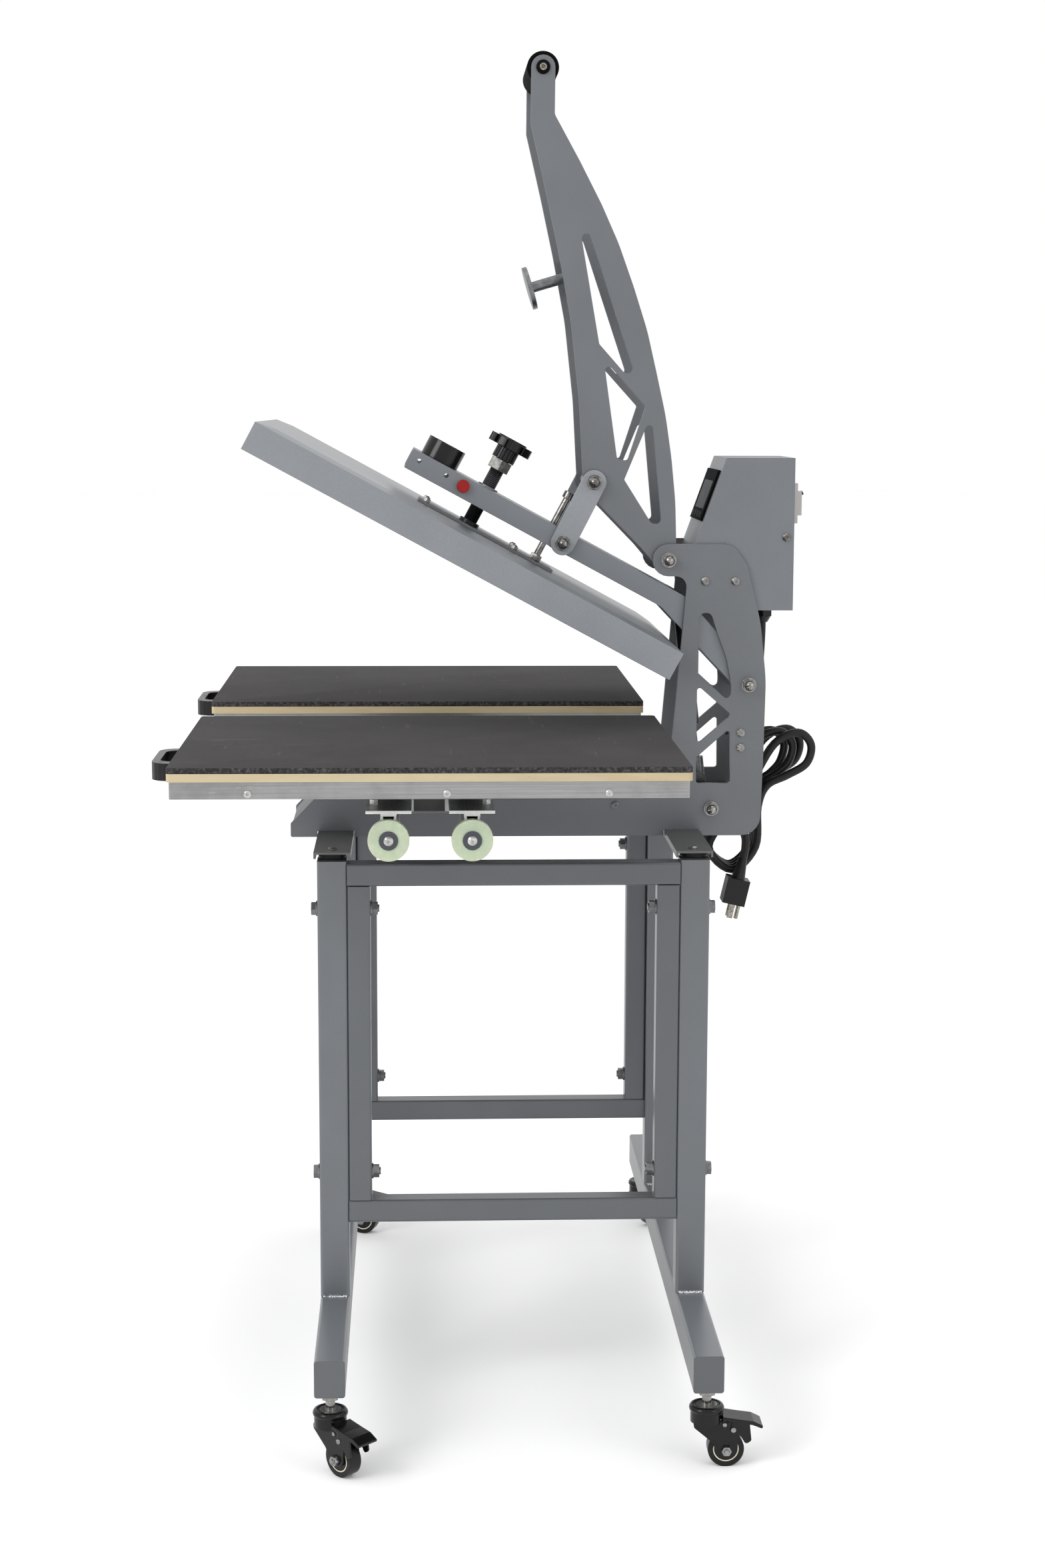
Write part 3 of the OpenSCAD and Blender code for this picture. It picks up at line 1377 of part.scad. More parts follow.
// Gas strut from its foot on the base to the arm's rear pin

module strut_frame() {
  top = opened(strut_u, strut_h);
  placed() at_yz(strut_foot) rotate([atan2(strut_foot.x - top.x, top.y - strut_foot.y), 0, 0]) children();
}

module strut_cylinder() {
  len = norm(opened(strut_u, strut_h) - strut_foot);
  color(black) strut_frame() {
    difference() {
      raise(strut_low) cylinder(d = strut_d, h = len - strut_low - strut_d / 2);
      raise(strut_low - over) cylinder(d = strut_rod_d + 2 * fit, h = over + strut_bore);
    }
    raise(len) difference() {
      x_rod(strut_d + 2 * strut_slack, -strut_eye_w / 2, strut_eye_w / 2);
      x_rod(shaft_d + 2 * strut_slack, -strut_eye_w, strut_eye_w);
    }
  }
}

module strut_rod() {
  color(steel) strut_frame() {
    difference() {
      union() {
        x_rod(strut_d, -strut_eye_w / 2, strut_eye_w / 2);
        cylinder(d = strut_d, h = strut_sleeve);
      }
      x_hole(shaft_d, -strut_d, strut_d);
    }
    raise(strut_sleeve) cylinder(d = strut_rod_d, h = strut_rod_len - strut_sleeve);
  }
}

// Control box

module box_outline(inset) {
  polygon([[box_rear, box_low + inset], [box_rear, box_top - inset],
    [box_front_top + inset * box_top_share, box_top - inset],
    [box_nose.x + inset, box_nose.y], [box_front_low + inset * box_low_share, box_low + inset]]);
}

// Bent shell and, behind it, the flat rear cover
module control_box() {
  color(paint) placed() {
    difference() {
      upright_mid(2 * box_side) box_outline(0);
      upright_mid(2 * (box_side - box_t)) box_outline(box_t);
      for (p = box_screws) at_yz(p) x_hole(bolt_d, -plate_out, plate_out);
      both_x() at_yz(side_screw_at) x_hole(bolt_d, box_side - 2 * box_t, box_side);
      translate([0, gland_y, box_low - over])
        cylinder(d = gland_d * gland_neck_share + 2 * fit, h = box_t + 2 * over);
      slant() translate([-screen_w / 2, -over, bezel_up + bezel_l / 2 - screen_l / 2])
        cube([screen_w, 2 * box_t + over, screen_l]);
    }
    difference() {
      translate([-box_side, box_rear, box_low]) cube([2 * box_side, box_t, box_h]);
      translate([-breaker_w / 2 - gap, box_rear - over, breaker_z - breaker_h / 2 - gap])
        cube([breaker_w + 2 * gap, box_t + 2 * over, breaker_h + 2 * gap]);
    }
    for (side = [-1, 1]) translate([side * (box_side - box_t - tab_t / 2) - tab_t / 2,
      box_rear - tab_l, side_screw_at.y - tab_l / 2]) difference() {
        cube([tab_t, tab_l, tab_l]);
        translate([0, tab_l - box_rear + side_screw_at.x, tab_l / 2]) x_hole(bolt_d, -tab_t, 2 * tab_t);
      }
  }
  color(steel) placed() both_x() at_yz(side_screw_at) translate([box_side, 0, 0]) rotate([0, 90, 0])
    round_screw(bolt_d, box_t + tab_t);
}

// Frame whose Z axis runs up the box's slanted front and whose -Y axis points out of it
module slant() {
  a = atan2(box_front_top - box_nose.x, box_top - box_nose.y);
  translate([0, box_nose.x, box_nose.y]) rotate([-a, 0, 0]) children();
}

module display_unit() {
  color(black) placed() slant() {
    difference() {
      translate([-bezel_w / 2, -bezel_h, bezel_up]) cube([bezel_w, bezel_h, bezel_l]);
      translate([-screen_w / 2, -bezel_h - over, bezel_up + bezel_l / 2 - screen_l / 2])
        cube([screen_w, screen_t + over, screen_l]);
    }
    translate([-screen_w / 2 + gap, 0, bezel_up + bezel_l / 2 - screen_l / 2 + gap])
      cube([screen_w - 2 * gap, bezel_h + box_t, screen_l - 2 * gap]);
  }
}

module breaker_body() {
  color("#cfd0cf") placed() difference() {
    union() {
      translate([-breaker_w / 2, box_rear - breaker_in, breaker_z - breaker_h / 2])
        cube([breaker_w, breaker_in + box_t + breaker_thin, breaker_h]);
      translate([-breaker_w / 2, box_rear, breaker_z - breaker_h * breaker_step_share])
        cube([breaker_w, box_t + breaker_out - toggle_r, breaker_h * 2 * breaker_step_share]);
    }
    at_yz([toggle_at.x - toggle_r * 2, toggle_at.y])
      x_rod(2 * toggle_r + 2 * gap, -toggle_w / 2 - gap, toggle_w / 2 + gap);
    translate([-toggle_w / 2 - gap, toggle_at.x - toggle_r * 2, toggle_at.y - toggle_r])
      cube([toggle_w + 2 * gap, toggle_r * 2, toggle_r * 2]);
  }
}

module breaker_toggle() {
  color(black) placed() at_yz([toggle_at.x - toggle_r * 2, toggle_at.y]) {
    x_rod(2 * toggle_r, -toggle_w / 2, toggle_w / 2);
    rotate([toggle_rest, 0, 0]) translate([-toggle_w / 2, 0, -toggle_r * toggle_bar_share])
      cube([toggle_w, toggle_l, 2 * toggle_r * toggle_bar_share]);
  }
}

// Circuit board on its stand-offs and the relay inside the box
module control_electronics() {
  color("#2f6b45") placed() slant() {
    translate([-board_w / 2, board_deep, bezel_up]) cube([board_w, board_thick, board_l]);
    both_x() translate([board_w / 2 - bolt_d, 0, bezel_up + board_l / 2])
      y_rod(bolt_d, box_t, board_deep);
  }
  color("#3a3d42") placed() {
    translate([-relay_w / 2, box_rear - relay_back, box_low + box_t]) cube([relay_w, relay_l, relay_h]);
  }
}

// Power cord

module cord_gland() {
  nut_h = gland_h * (1 - gland_cone_share);
  color(black) placed() translate([0, gland_y, 0]) difference() {
    union() {
      raise(box_low - gland_h)
        cylinder(d1 = gland_d * gland_end_share, d2 = gland_d, h = gland_h * gland_cone_share);
      raise(box_low - nut_h)
        cylinder(d = gland_d * nut_share / nut_flat_share, h = nut_h, $fn = 6);
      raise(box_low - over / 2) cylinder(d = gland_d * gland_neck_share, h = over / 2 + gland_in);
    }
    raise(box_low - gland_h - over) cylinder(d = gland_bore, h = gland_h + gland_in + 2 * over);
  }
}

// Smooth curve through points, with the given number of steps in each piece
function curve(p, steps) = [for (i = [0:len(p) - 2])
  let (a = p[max(i - 1, 0)], b = p[i], c = p[i + 1], d = p[min(i + 2, len(p) - 1)])
  for (j = [0:steps - 1]) let (t = j / steps, s = t * t, q = s * t)
    (b * 2 + (c - a) * t + (a * 2 - b * 5 + c * 4 - d) * s + (b * 3 - a - c * 3 + d) * q) / 2, p[len(p) - 1]];
function flat(lists) = [for (l = lists) each l];
function turned(v, t) = unit(v - t * (v * t));
// Rings round a path, their first corner kept from twisting
function frames(path, i, side) = i >= len(path) ? [] :
  let (t = unit(path[min(i + 1, len(path) - 1)] - path[max(i - 1, 0)]), s = turned(side, t))
  concat([[s, cross(t, s)]], frames(path, i + 1, s));
module sweep(path, r, sides, start) {
  f = frames(path, 0, start);
  points = flat([for (i = [0:len(path) - 1]) [for (k = [0:sides - 1])
    path[i] + r * (cos(k * 360 / sides) * f[i][0] + sin(k * 360 / sides) * f[i][1])]]);
  last = len(path) - 1;
  faces = concat([[for (k = [0:sides - 1]) k]], [[for (k = [0:sides - 1]) last * sides + sides - 1 - k]],
    flat([for (i = [0:last - 1]) [for (k = [0:sides - 1])
      let (a = i * sides + k, b = i * sides + (k + 1) % sides) [a, a + sides, b + sides, b]]]));
  polyhedron(points, faces, convexity = 10);
}

// Places the cord's pieces below the gland
module from_gland() { placed() translate([0, gland_y, box_low]) children(); }
module cord_lead() { color(black) from_gland() sweep(lead_path, cord_r, cord_sides, [1, 0, 0]); }
module cord_tail() { color(black) from_gland() sweep(tail_path, cord_r, cord_sides, [1, 0, 0]); }
module cord_hank() { color(black) from_gland() sweep(hank_path, cord_r, hank_sides, [1, 0, 0]); }

module power_plug() {
  color(black) from_gland() translate(tail_end) rotate([-plug_tilt, 0, 0]) {
    raise(-relief_l) cylinder(d1 = relief_d, d2 = cord_d, h = relief_l);
    translate([-plug_w / 2, -plug_t / 2, -relief_l - plug_l]) cube([plug_w, plug_t, plug_l]);
  }
  color("#8a7f6c") from_gland() translate(tail_end) rotate([-plug_tilt, 0, 0]) {
    for (x = [-1, 1]) translate([x * blade_gap / 2 - blade_t / 2, -blade_w / 2, -relief_l - plug_l - blade_l])
      cube([blade_t, blade_w, blade_l]);
    translate([0, plug_t / 2 - earth_d, -relief_l - plug_l - blade_l]) cylinder(d = earth_d, h = blade_l);
  }
}

foot_tubes();
legs();
side_frames();
stand_bolts();
foot_channels();
rubber_feet();
right_side_plate();
left_side_plate();
base_cover();
bearing_tray();
bearing_blocks();
cross_shafts();
acorn_nuts();
column_screws();
control_box();
display_unit();
breaker_body();
breaker_toggle();
control_electronics();
cord_gland();
cord_lead();
cord_hank();
cord_tail();
power_plug();
caster_stems();
right_front_fork();
right_front_wheel();
right_front_pedal();
right_rear_fork();
right_rear_wheel();
right_rear_pedal();
left_front_fork();
left_front_wheel();
left_front_pedal();
left_rear_fork();
left_rear_wheel();
left_rear_pedal();
shuttle_plate();
linear_rails();
platen_frames();
platen_boards();
press_pads();
platen_handles();
rail_bumpers();
shuttle_screws();
press_arm();
electromagnet();
push_button();
lever_plates();
lever_grip();
armature();
toggle_links();
head_cover();
heating_plate();
insulation();
head_mount();
pressure_screw();
pressure_knob();
strut_cylinder();
strut_rod();
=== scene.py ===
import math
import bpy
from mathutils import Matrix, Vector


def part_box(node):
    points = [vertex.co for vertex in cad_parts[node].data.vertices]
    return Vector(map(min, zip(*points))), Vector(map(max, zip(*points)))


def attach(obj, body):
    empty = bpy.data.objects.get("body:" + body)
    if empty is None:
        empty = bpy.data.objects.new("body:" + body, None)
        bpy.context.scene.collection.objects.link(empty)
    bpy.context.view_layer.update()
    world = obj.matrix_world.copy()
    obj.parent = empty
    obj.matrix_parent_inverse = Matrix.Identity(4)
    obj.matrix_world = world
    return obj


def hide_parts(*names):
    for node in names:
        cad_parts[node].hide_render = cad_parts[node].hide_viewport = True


bl_info = {
    "name": "Dual station heat press",
    "version": (1, 0, 0),
    "blender": (4, 5, 0),
    "location": "3D View > Sidebar > Heat press",
    "description": "Dresses the heat press's solids in paint, foam, rubber and bright metal",
    "category": "Object",
}

import bmesh
import bpy
from bpy.props import FloatProperty, FloatVectorProperty, PointerProperty
from mathutils import Matrix, Vector

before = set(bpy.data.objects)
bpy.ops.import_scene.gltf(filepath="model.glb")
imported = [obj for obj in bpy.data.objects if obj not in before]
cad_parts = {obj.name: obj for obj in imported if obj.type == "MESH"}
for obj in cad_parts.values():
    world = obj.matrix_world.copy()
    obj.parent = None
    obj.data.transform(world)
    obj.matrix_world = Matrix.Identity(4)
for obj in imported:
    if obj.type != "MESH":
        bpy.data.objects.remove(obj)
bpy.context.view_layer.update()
MM = 0.001
# The frame's Y of the middle of the stand, in millimetres
STAND_Y = 18.75
# The open arm's angle and pivot, and the lower corner and the slant of the control box's front
OPEN = math.radians(28.3)
ARM_PIVOT = Vector((0, 0.2884692, 0.7849))
BOX_NOSE = Vector((0, 0.22375, 0.9365))
BOX_SLANT = math.atan2(36.5, 102)
# Each caster's side, its end of the stand and the degrees that it is turned by; then, in millimetres, where the
# stems stand from the stand's middle and where the axles are from the stems
CASTERS = {"right_front": (1, -1, -47), "right_rear": (1, 1, 0), "left_front": (-1, -1, -20),
           "left_rear": (-1, 1, 35)}
STEM_X, STEM_Y = 383, 196
AXLE_Y, AXLE_Z = 20, 19

# Where the finish changes on one solid, in metres. Distances from the middle plane
BOX_SIDE = 0.0618
LINK_FACE = 0.0651
PLATE_FACE = 0.0659
GRIP_SCREW_START = 0.0601
BUMPER_WASHERS = (0.4497, 0.4512)
LEG_INSIDE, LEG_OUTSIDE = 0.1787, 0.2113
# Heights in the frame
WELD_HEIGHTS = (0.12, 0.1274)
COVER_SCREW_HEIGHTS = (0.642, 0.655)
# Heights above the arm's pivot, square to the open arm
MOUNT_TOP = 0.0071
THREAD_HEIGHTS = (0.0115, 0.0757)
LOCK_NUT_HEIGHTS = (0.0759, 0.0883)
# The width of a thread's flank, the radius of the grip's screws, and the reach of the plug's body beyond the cord
THREAD_FLANK = 0.001
GRIP_SCREW_RADIUS = 0.0038
PLUG_BODY = 0.05405
# The boards' middle in Y, and how far from it they start to brown and are brownest
BOARD_Y = -0.072
BOARD_BROWNING = (0.12, 0.26)
# The share of the paint's brightness that the plates are given: painted shade, darkening their grey for the shade
# they stand in
PLATE_PAINTED_SHADE = 0.86

# Sizes of the pieces made here, in millimetres. The knob's two stars: teeth, outer and inner radius, and the
# heights between which they stand on the screw; its boss: radius and heights; and how far the screw is along the
# arm from its pivot; then the shares of one tooth's turn that its top and the gap after it take
KNOB_STARS = ((10, 25.4, 20.5, 102.6, 112.6), (20, 13.4, 12.2, 88.6, 102.8))
KNOB_BOSS = (17.5, 112.4, 114.4)
KNOB_REACH = 361.3
TOOTH_TOP, TOOTH_GAP = (0.0, 0.56), (0.62, 0.94)
# The wheels' rings: inner and outer radius, and the distances from the wheel's middle between which they lie
WHEEL_RING = (12.25, 13.55, 6.4, 7.3)
# The rim of a caster's housing: its radius, height and thickness as a radius
CASTER_RIM = (14.6, 62.4, 3.9)
# The nut and rivets on each face of a caster: Y, Z, radius, where they start along the axle, reach and sides
CASTER_NUTS = (
    (20, 19, 6.2, 11.1, 4, 6),
    (20, 19, 3, 15, 2, 24),
    (27, 42, 3, 12.9, 1, 24),
    (18, 47, 2.4, 11.1, 1, 24),
)
NUT_TAPER = 0.86
# On the box's slanted front: two corners of the glass, and the keys' number, pitch, place out and up, and size
GLASS = ((-38.6, -2.9, 46.4), (38.6, -2.05, 79.6))
KEYS, KEY_PITCH, KEY_PLACE, KEY_SIZE = 4, 22, (-3.1, 39.5), (13, 1.2, 7)

# The camera as solved from the photograph: its place, its turn, tilt and roll in degrees, and its lens
CAMERA_PLACE = (2.8679, -0.08265, 1.0967)
CAMERA_TURNS = (2.373, 8.597, 0.176)
CAMERA_LENS = 57.65
# Each lamp's place, the height that it is aimed at, its size and its power
LAMPS = {
    "key_light": ((2.2, -2.6, 2.6), 0.8, (1.6, 2.0), 60),
    "fill_light": ((2.4, 2.6, 1.8), 0.8, (1.6, 2.0), 16),
    "top_light": ((0.2, 0.0, 3.6), 0.6, (2.4, 2.4), 10),
}


def linear(red, green, blue):
    """A colour seen on screen, 0 to 255, as the shader's linear values."""
    def part(value):
        value /= 255
        return value / 12.92 if value <= 0.04045 else ((value + 0.055) / 1.055) ** 2.4
    return (part(red), part(green), part(blue), 1.0)


def colour(name, shown, description):
    """A property for a finish's colour, given as it is seen on screen."""
    return FloatVectorProperty(name=name, description=description, subtype="COLOR", size=4, min=0, max=1,
                               default=linear(*shown))


def length(name, millimetres, description):
    """A property for a size, given in millimetres."""
    return FloatProperty(name=name, description=description, default=millimetres * MM, min=0, unit="LENGTH")


class PressColours(bpy.types.PropertyGroup):
    """Colours of the press's finishes."""
    paint: colour("Paint", (112, 115, 119), "Grey powder coat of the press and stand")
    dark_paint: colour("Dark paint", (104, 104, 104), "Shaded grey of the channels and the tray")
    link_paint: colour("Link paint", (140, 143, 147), "Lighter grey of the links")
    foam: colour("Foam", (62, 60, 60), "Charcoal of the platen pads")
    board: colour("Board", (182, 168, 138), "Cream of the heat-proof boards")
    bumper: colour("Bumper", (190, 202, 176), "Yellow-green of the end bumpers")
    black: colour("Black", (13, 13, 14), "Black plastic, rubber and gloss paint")
    button: colour("Button", (136, 8, 6), "Red of the push button")
    breaker: colour("Breaker", (180, 177, 173), "Light grey of the circuit breaker")
    screen: colour("Screen", (66, 70, 72), "Grey of the dead display")
    ring: colour("Wheel ring", (224, 214, 194), "Cream of the ring in each caster wheel")
    zinc: colour("Zinc", (126, 128, 130), "Zinc plate of the bolts, shafts and rods")
    stainless: colour("Stainless", (150, 148, 145), "Bright steel of the domed nuts and small screws")
    chrome: colour("Chrome", (150, 149, 145), "Polished steel of the caster stems")
    axle_steel: colour("Axle steel", (150, 150, 150), "Steel of the casters' axle nuts and rivets")
    bracket: colour("Bracket steel", (190, 190, 188), "Pale steel of the shuttle's brackets and screws")
    washer: colour("Washer", (74, 76, 80), "Gunmetal washers of the bumpers")
    aluminium: colour("Aluminium", (154, 155, 154), "Sawn aluminium of the platen frames")
    rail: colour("Rail", (206, 206, 203), "Ground metal of the rails and the heating plate")
    oxide: colour("Oxide", (44, 44, 46), "Black oxide of the pressure screw")
    circuit: colour("Circuit board", (38, 96, 58), "Green of the circuit board")
    felt: colour("Felt", (214, 206, 186), "Cream of the insulation felt")
    key: colour("Key", (52, 54, 57), "Grey rubber of the display's keys")
    floor: colour("Floor", (255, 255, 255), "Pale studio floor")


class PressSizes(bpy.types.PropertyGroup):
    """Sizes of the pieces made here."""
    cord_width: length("Cord width", 9.5, "Diameter of the power cord")
    pad_round: length("Pad rounding", 0.7, "Rounding of the pads' upper and lower edges")
    pad_corner: length("Pad corner", 4.0, "Corner radius of the pads")


class Wire:
    """An output of a shader graph; sums and products on it add Math nodes."""
    def __init__(self, graph, socket):
        self.graph, self.socket = graph, socket

    def maths(self, operation, first, second=None):
        values = {0: first} if second is None else {0: first, 1: second}
        return self.graph.node("ShaderNodeMath", {"operation": operation}, values)

    def __add__(self, other): return self.maths("ADD", self, other)
    def __radd__(self, other): return self.maths("ADD", other, self)
    def __sub__(self, other): return self.maths("SUBTRACT", self, other)
    def __rsub__(self, other): return self.maths("SUBTRACT", other, self)
    def __mul__(self, other): return self.maths("MULTIPLY", self, other)
    def __rmul__(self, other): return self.maths("MULTIPLY", other, self)
    def __abs__(self): return self.maths("ABSOLUTE", self)
    def above(self, other): return self.maths("GREATER_THAN", self, other)
    def below(self, other): return self.maths("LESS_THAN", self, other)

    def within(self, low, high):
        """1 where the value lies between two others, else 0."""
        return self.above(low) * self.below(high)

    def zigzag(self, size):
        """Runs up and down between 0 and a size."""
        return self.maths("PINGPONG", self, size)

    def between(self, low, high):
        """0 below low, 1 above high and smooth between them; the other way round where low is the larger."""
        return self.graph.node("ShaderNodeMapRange", {"interpolation_type": "SMOOTHSTEP"},
                               {"Value": self, "From Min": low, "From Max": high})


class Finish:
    """One material with its Principled shader, built by calls that return wires."""
    def __init__(self, name, **constants):
        self.material = bpy.data.materials.new(name)
        self.material.use_nodes = True
        self.nodes = self.material.node_tree.nodes
        self.links = self.material.node_tree.links
        self.shader = self.nodes["Principled BSDF"]
        self.place = self.node("ShaderNodeTexCoord", {}, {}, "Object")
        split = self.node("ShaderNodeSeparateXYZ", {}, {0: self.place}, None)
        self.x, self.y, self.z = (Wire(self, split.outputs[i]) for i in range(3))
        self.set(**constants)

    def plug(self, socket, value):
        """Links a wire to a socket, or sets the socket to a constant."""
        if isinstance(value, Wire):
            self.links.new(value.socket, socket)
        else:
            socket.default_value = value

    def node(self, kind, settings, values, output=0):
        """Adds a node; returns one of its outputs as a wire, or the node itself where no output is asked for."""
        made = self.nodes.new(kind)
        for key, value in settings.items():
            setattr(made, key, value)
        for key, value in values.items():
            self.plug(made.inputs[key], value)
        return made if output is None else Wire(self, made.outputs[output])

    def set(self, **values):
        """Gives the shader's sockets wires or constants, by their names in lower case."""
        for key, value in values.items():
            self.plug(self.shader.inputs[key.replace("_", " ").title().replace("Ior", "IOR")], value)

    def stretched(self, x, y, z):
        """Object coordinates scaled by axis, for lines and fibres."""
        return self.node("ShaderNodeMapping", {}, {"Vector": self.place, "Scale": (x, y, z)})

    def noise(self, scale, detail=3.0, roughness=0.55, vector=None):
        return self.node("ShaderNodeTexNoise", {}, {"Vector": vector or self.place, "Scale": scale,
                                                    "Detail": detail, "Roughness": roughness})

    def cells(self, scale):
        return self.node("ShaderNodeTexVoronoi", {}, {"Vector": self.place, "Scale": scale})

    def mix(self, factor, first, second):
        """The first colour where the factor is 0 and the second where it is 1."""
        return self.node("ShaderNodeMix", {"data_type": "RGBA"}, {0: factor, 6: first, 7: second}, 2)

    def mottled(self, rgba, dark, light):
        """A colour that drifts between two shades in blotches, and the blotches."""
        blotch = self.noise(160, 4.0, 0.6)
        return self.mix(blotch.between(0.3, 0.75), shade(rgba, dark), shade(rgba, light)), blotch

    def upward(self):
        """1 on faces that look up, 0 on upright ones and -1 on those that look down."""
        facing = self.node("ShaderNodeNewGeometry", {}, {}, "Normal")
        return self.node("ShaderNodeSeparateXYZ", {}, {0: facing}, "Z")

    def soft_edges(self, radius):
        """A surface direction that turns smoothly round sharp edges, for their thin highlights."""
        return self.node("ShaderNodeBevel", {"samples": 6}, {"Radius": radius})

    def bump(self, height, depth, under=None):
        """A surface direction with a relief, laid over another one where it is given."""
        values = {"Height": height, "Strength": 1.0, "Distance": depth}
        if under:
            values["Normal"] = under
        return self.node("ShaderNodeBump", {}, values)


def shade(rgba, factor):
    """A colour made darker or lighter."""
    return tuple(min(1.0, c * factor) for c in rgba[:3]) + (1.0,)


def powder_coat(name, rgba, roughness=0.42, grain=1.0, sparkle=0.35, bare=None, steel=None, top=None):
    """Satin powder coat: fine orange peel, faint cloudiness and a little metallic sparkle.
    bare returns a mask of the places where bright weld metal shows through, and steel one of plated screws and
    nuts; top is a painted light or shade: the brightness given to the faces that look up, where it differs from the
    upright faces, standing in for the light that falls on them."""
    f = Finish(name, specular_ior_level=0.5)
    peel = f.noise(900, 2.0)
    cloud = f.noise(7, 3.0)
    fleck = f.noise(1300, 2.0, 0.6).between(0.56, 0.72)
    smudge = f.noise(24, 4.0, 0.6).between(0.55, 0.8)
    tone = f.mix(cloud.between(0.3, 0.7), shade(rgba, 0.9), shade(rgba, 1.0))
    tone = f.mix(fleck * sparkle, tone, shade(rgba, 1.7))
    rough = peel * 0.08 + smudge * 0.06 + (roughness - 0.06)
    metal = 0.35
    # Painted light or shade: faces that look up get their own brightness, for the light that falls on them from
    # above
    if top:
        tone = f.mix(f.upward().between(0.4, 0.8), tone, shade(rgba, top))
    if bare:
        spatter = f.noise(420, 3.0, 0.7)
        mask = bare(f) * spatter.between(0.36, 0.44)
        bead = f.mix(spatter.between(0.45, 0.6), linear(226, 228, 230), linear(120, 122, 124))
        tone = f.mix(mask, tone, bead)
        rough = rough - mask * 0.12
        metal = mask * 0.6 + 0.35
    if steel:
        mask = steel(f)
        plate = f.mix(f.noise(160, 4.0, 0.6).between(0.3, 0.75), linear(92, 91, 89), linear(146, 144, 141))
        tone = f.mix(mask, tone, plate)
        rough = rough - mask * 0.2
        metal = mask * 0.6 + 0.35
    f.set(base_color=tone, roughness=rough, metallic=metal,
          normal=f.bump(peel * 0.00002 * grain, 1.0, f.soft_edges(0.0009)))
    return f.material


def leg_welds(f):
    """A mask of the bead round the foot of each leg, on its two sides."""
    away = abs(f.x)
    return (away.above(LEG_OUTSIDE) + away.below(LEG_INSIDE)) * f.z.within(*WELD_HEIGHTS)


def up_arm(f):
    """Height above the arm's pivot, square to the open arm."""
    pivot = ARM_PIVOT.y * math.sin(OPEN) + ARM_PIVOT.z * math.cos(OPEN)
    return f.y * math.sin(OPEN) + f.z * math.cos(OPEN) - pivot


def beyond(distance):
    """A mask of what lies further than a distance from the middle plane."""
    return lambda f: abs(f.x).above(distance)


def cover_screws(f):
    """A mask of the heads that hold the base cover, on the outer faces of the side plates."""
    return abs(f.x).above(PLATE_FACE) * f.z.within(*COVER_SCREW_HEIGHTS)


def zinc(name, rgba, roughness=0.28, metallic=1.0, washer=None, painted=None):
    """Plated or turned metal with fine uneven brightness. washer is the colour of the bumpers' washers, and painted
    that of the heads that hold the cover, on the solids that have them."""
    f = Finish(name, metallic=metallic)
    tone, blotch = f.mottled(rgba, 0.7, 1.15)
    fine = f.noise(1500, 2.0)
    if washer:
        tone = f.mix(abs(f.x).within(*BUMPER_WASHERS), tone, washer)
    if painted:
        mask = cover_screws(f)
        tone = f.mix(mask, tone, painted)
        f.set(metallic=metallic - mask * 0.65)
    f.set(base_color=tone, roughness=blotch * 0.16 + fine * 0.06 + (roughness - 0.08),
          normal=f.bump(fine, 0.000012, f.soft_edges(0.0005)))
    return f.material


def screw_metal(name, rgba):
    """Black oxide screw with fine threads above its collar and a stainless lock nut under the knob."""
    f = Finish(name)
    along = up_arm(f)
    nut = along.within(*LOCK_NUT_HEIGHTS)
    ridge = along.within(*THREAD_HEIGHTS) * along.zigzag(THREAD_FLANK) * (1 / THREAD_FLANK)
    tone, blotch = f.mottled(rgba, 0.8, 1.5)
    tone = f.mix(ridge * 0.7, tone, shade(rgba, 3.0))
    tone = f.mix(nut, tone, f.mix(blotch.between(0.3, 0.75), linear(78, 78, 77), linear(128, 127, 124)))
    f.set(base_color=tone, metallic=nut * 0.15 + 0.82, roughness=blotch * 0.14 + nut * 0.1 + 0.24,
          normal=f.bump(ridge, 0.0006, f.soft_edges(0.0006)))
    return f.material


def brushed(name, rgba, along="y"):
    """Sawn and brushed aluminium: long fine lines with a few scratches and dull patches."""
    f = Finish(name, metallic=0.92)
    scale = {"x": (6, 900, 900), "y": (900, 6, 900)}[along]
    lines = f.noise(1.0, 4.0, 0.7, f.stretched(*scale))
    patch = f.noise(18, 4.0, 0.6)
    scratch = f.noise(1.0, 2.0, 0.6, f.stretched(70, 26, 240)).between(0.66, 0.72)
    tone = f.mix(lines.between(0.25, 0.75), shade(rgba, 0.78), shade(rgba, 1.12))
    tone = f.mix(patch.between(0.45, 0.7) * 0.6, tone, shade(rgba, 0.66))
    f.set(base_color=f.mix(scratch * 0.45, tone, shade(rgba, 1.3)),
          roughness=lines * 0.18 + patch * 0.16 + 0.2, normal=f.bump(lines + scratch * 0.6, 0.00003))
    return f.material


def moulded(name, rgba, roughness=0.3, texture=0.00003, scale=700, steel=None, **constants):
    """Moulded plastic or rubber with a fine grain and light handling marks; steel returns a mask of metal ends."""
    f = Finish(name, **{"specular_ior_level": 0.3, **constants})
    grain = f.noise(scale, 2.0)
    marks = f.noise(45, 4.0, 0.65).between(0.5, 0.8)
    tone = f.mix(marks * 0.5, rgba, shade(rgba, 1.6))
    if steel:
        mask = steel(f)
        tone = f.mix(mask, tone, f.mix(grain.between(0.3, 0.7), linear(128, 122, 112), linear(172, 168, 160)))
        f.set(metallic=mask * 0.9)
    f.set(base_color=tone, roughness=marks * 0.14 + grain * 0.08 + (roughness - 0.05),
          normal=f.bump(grain, texture, f.soft_edges(0.0012)))
    return f.material


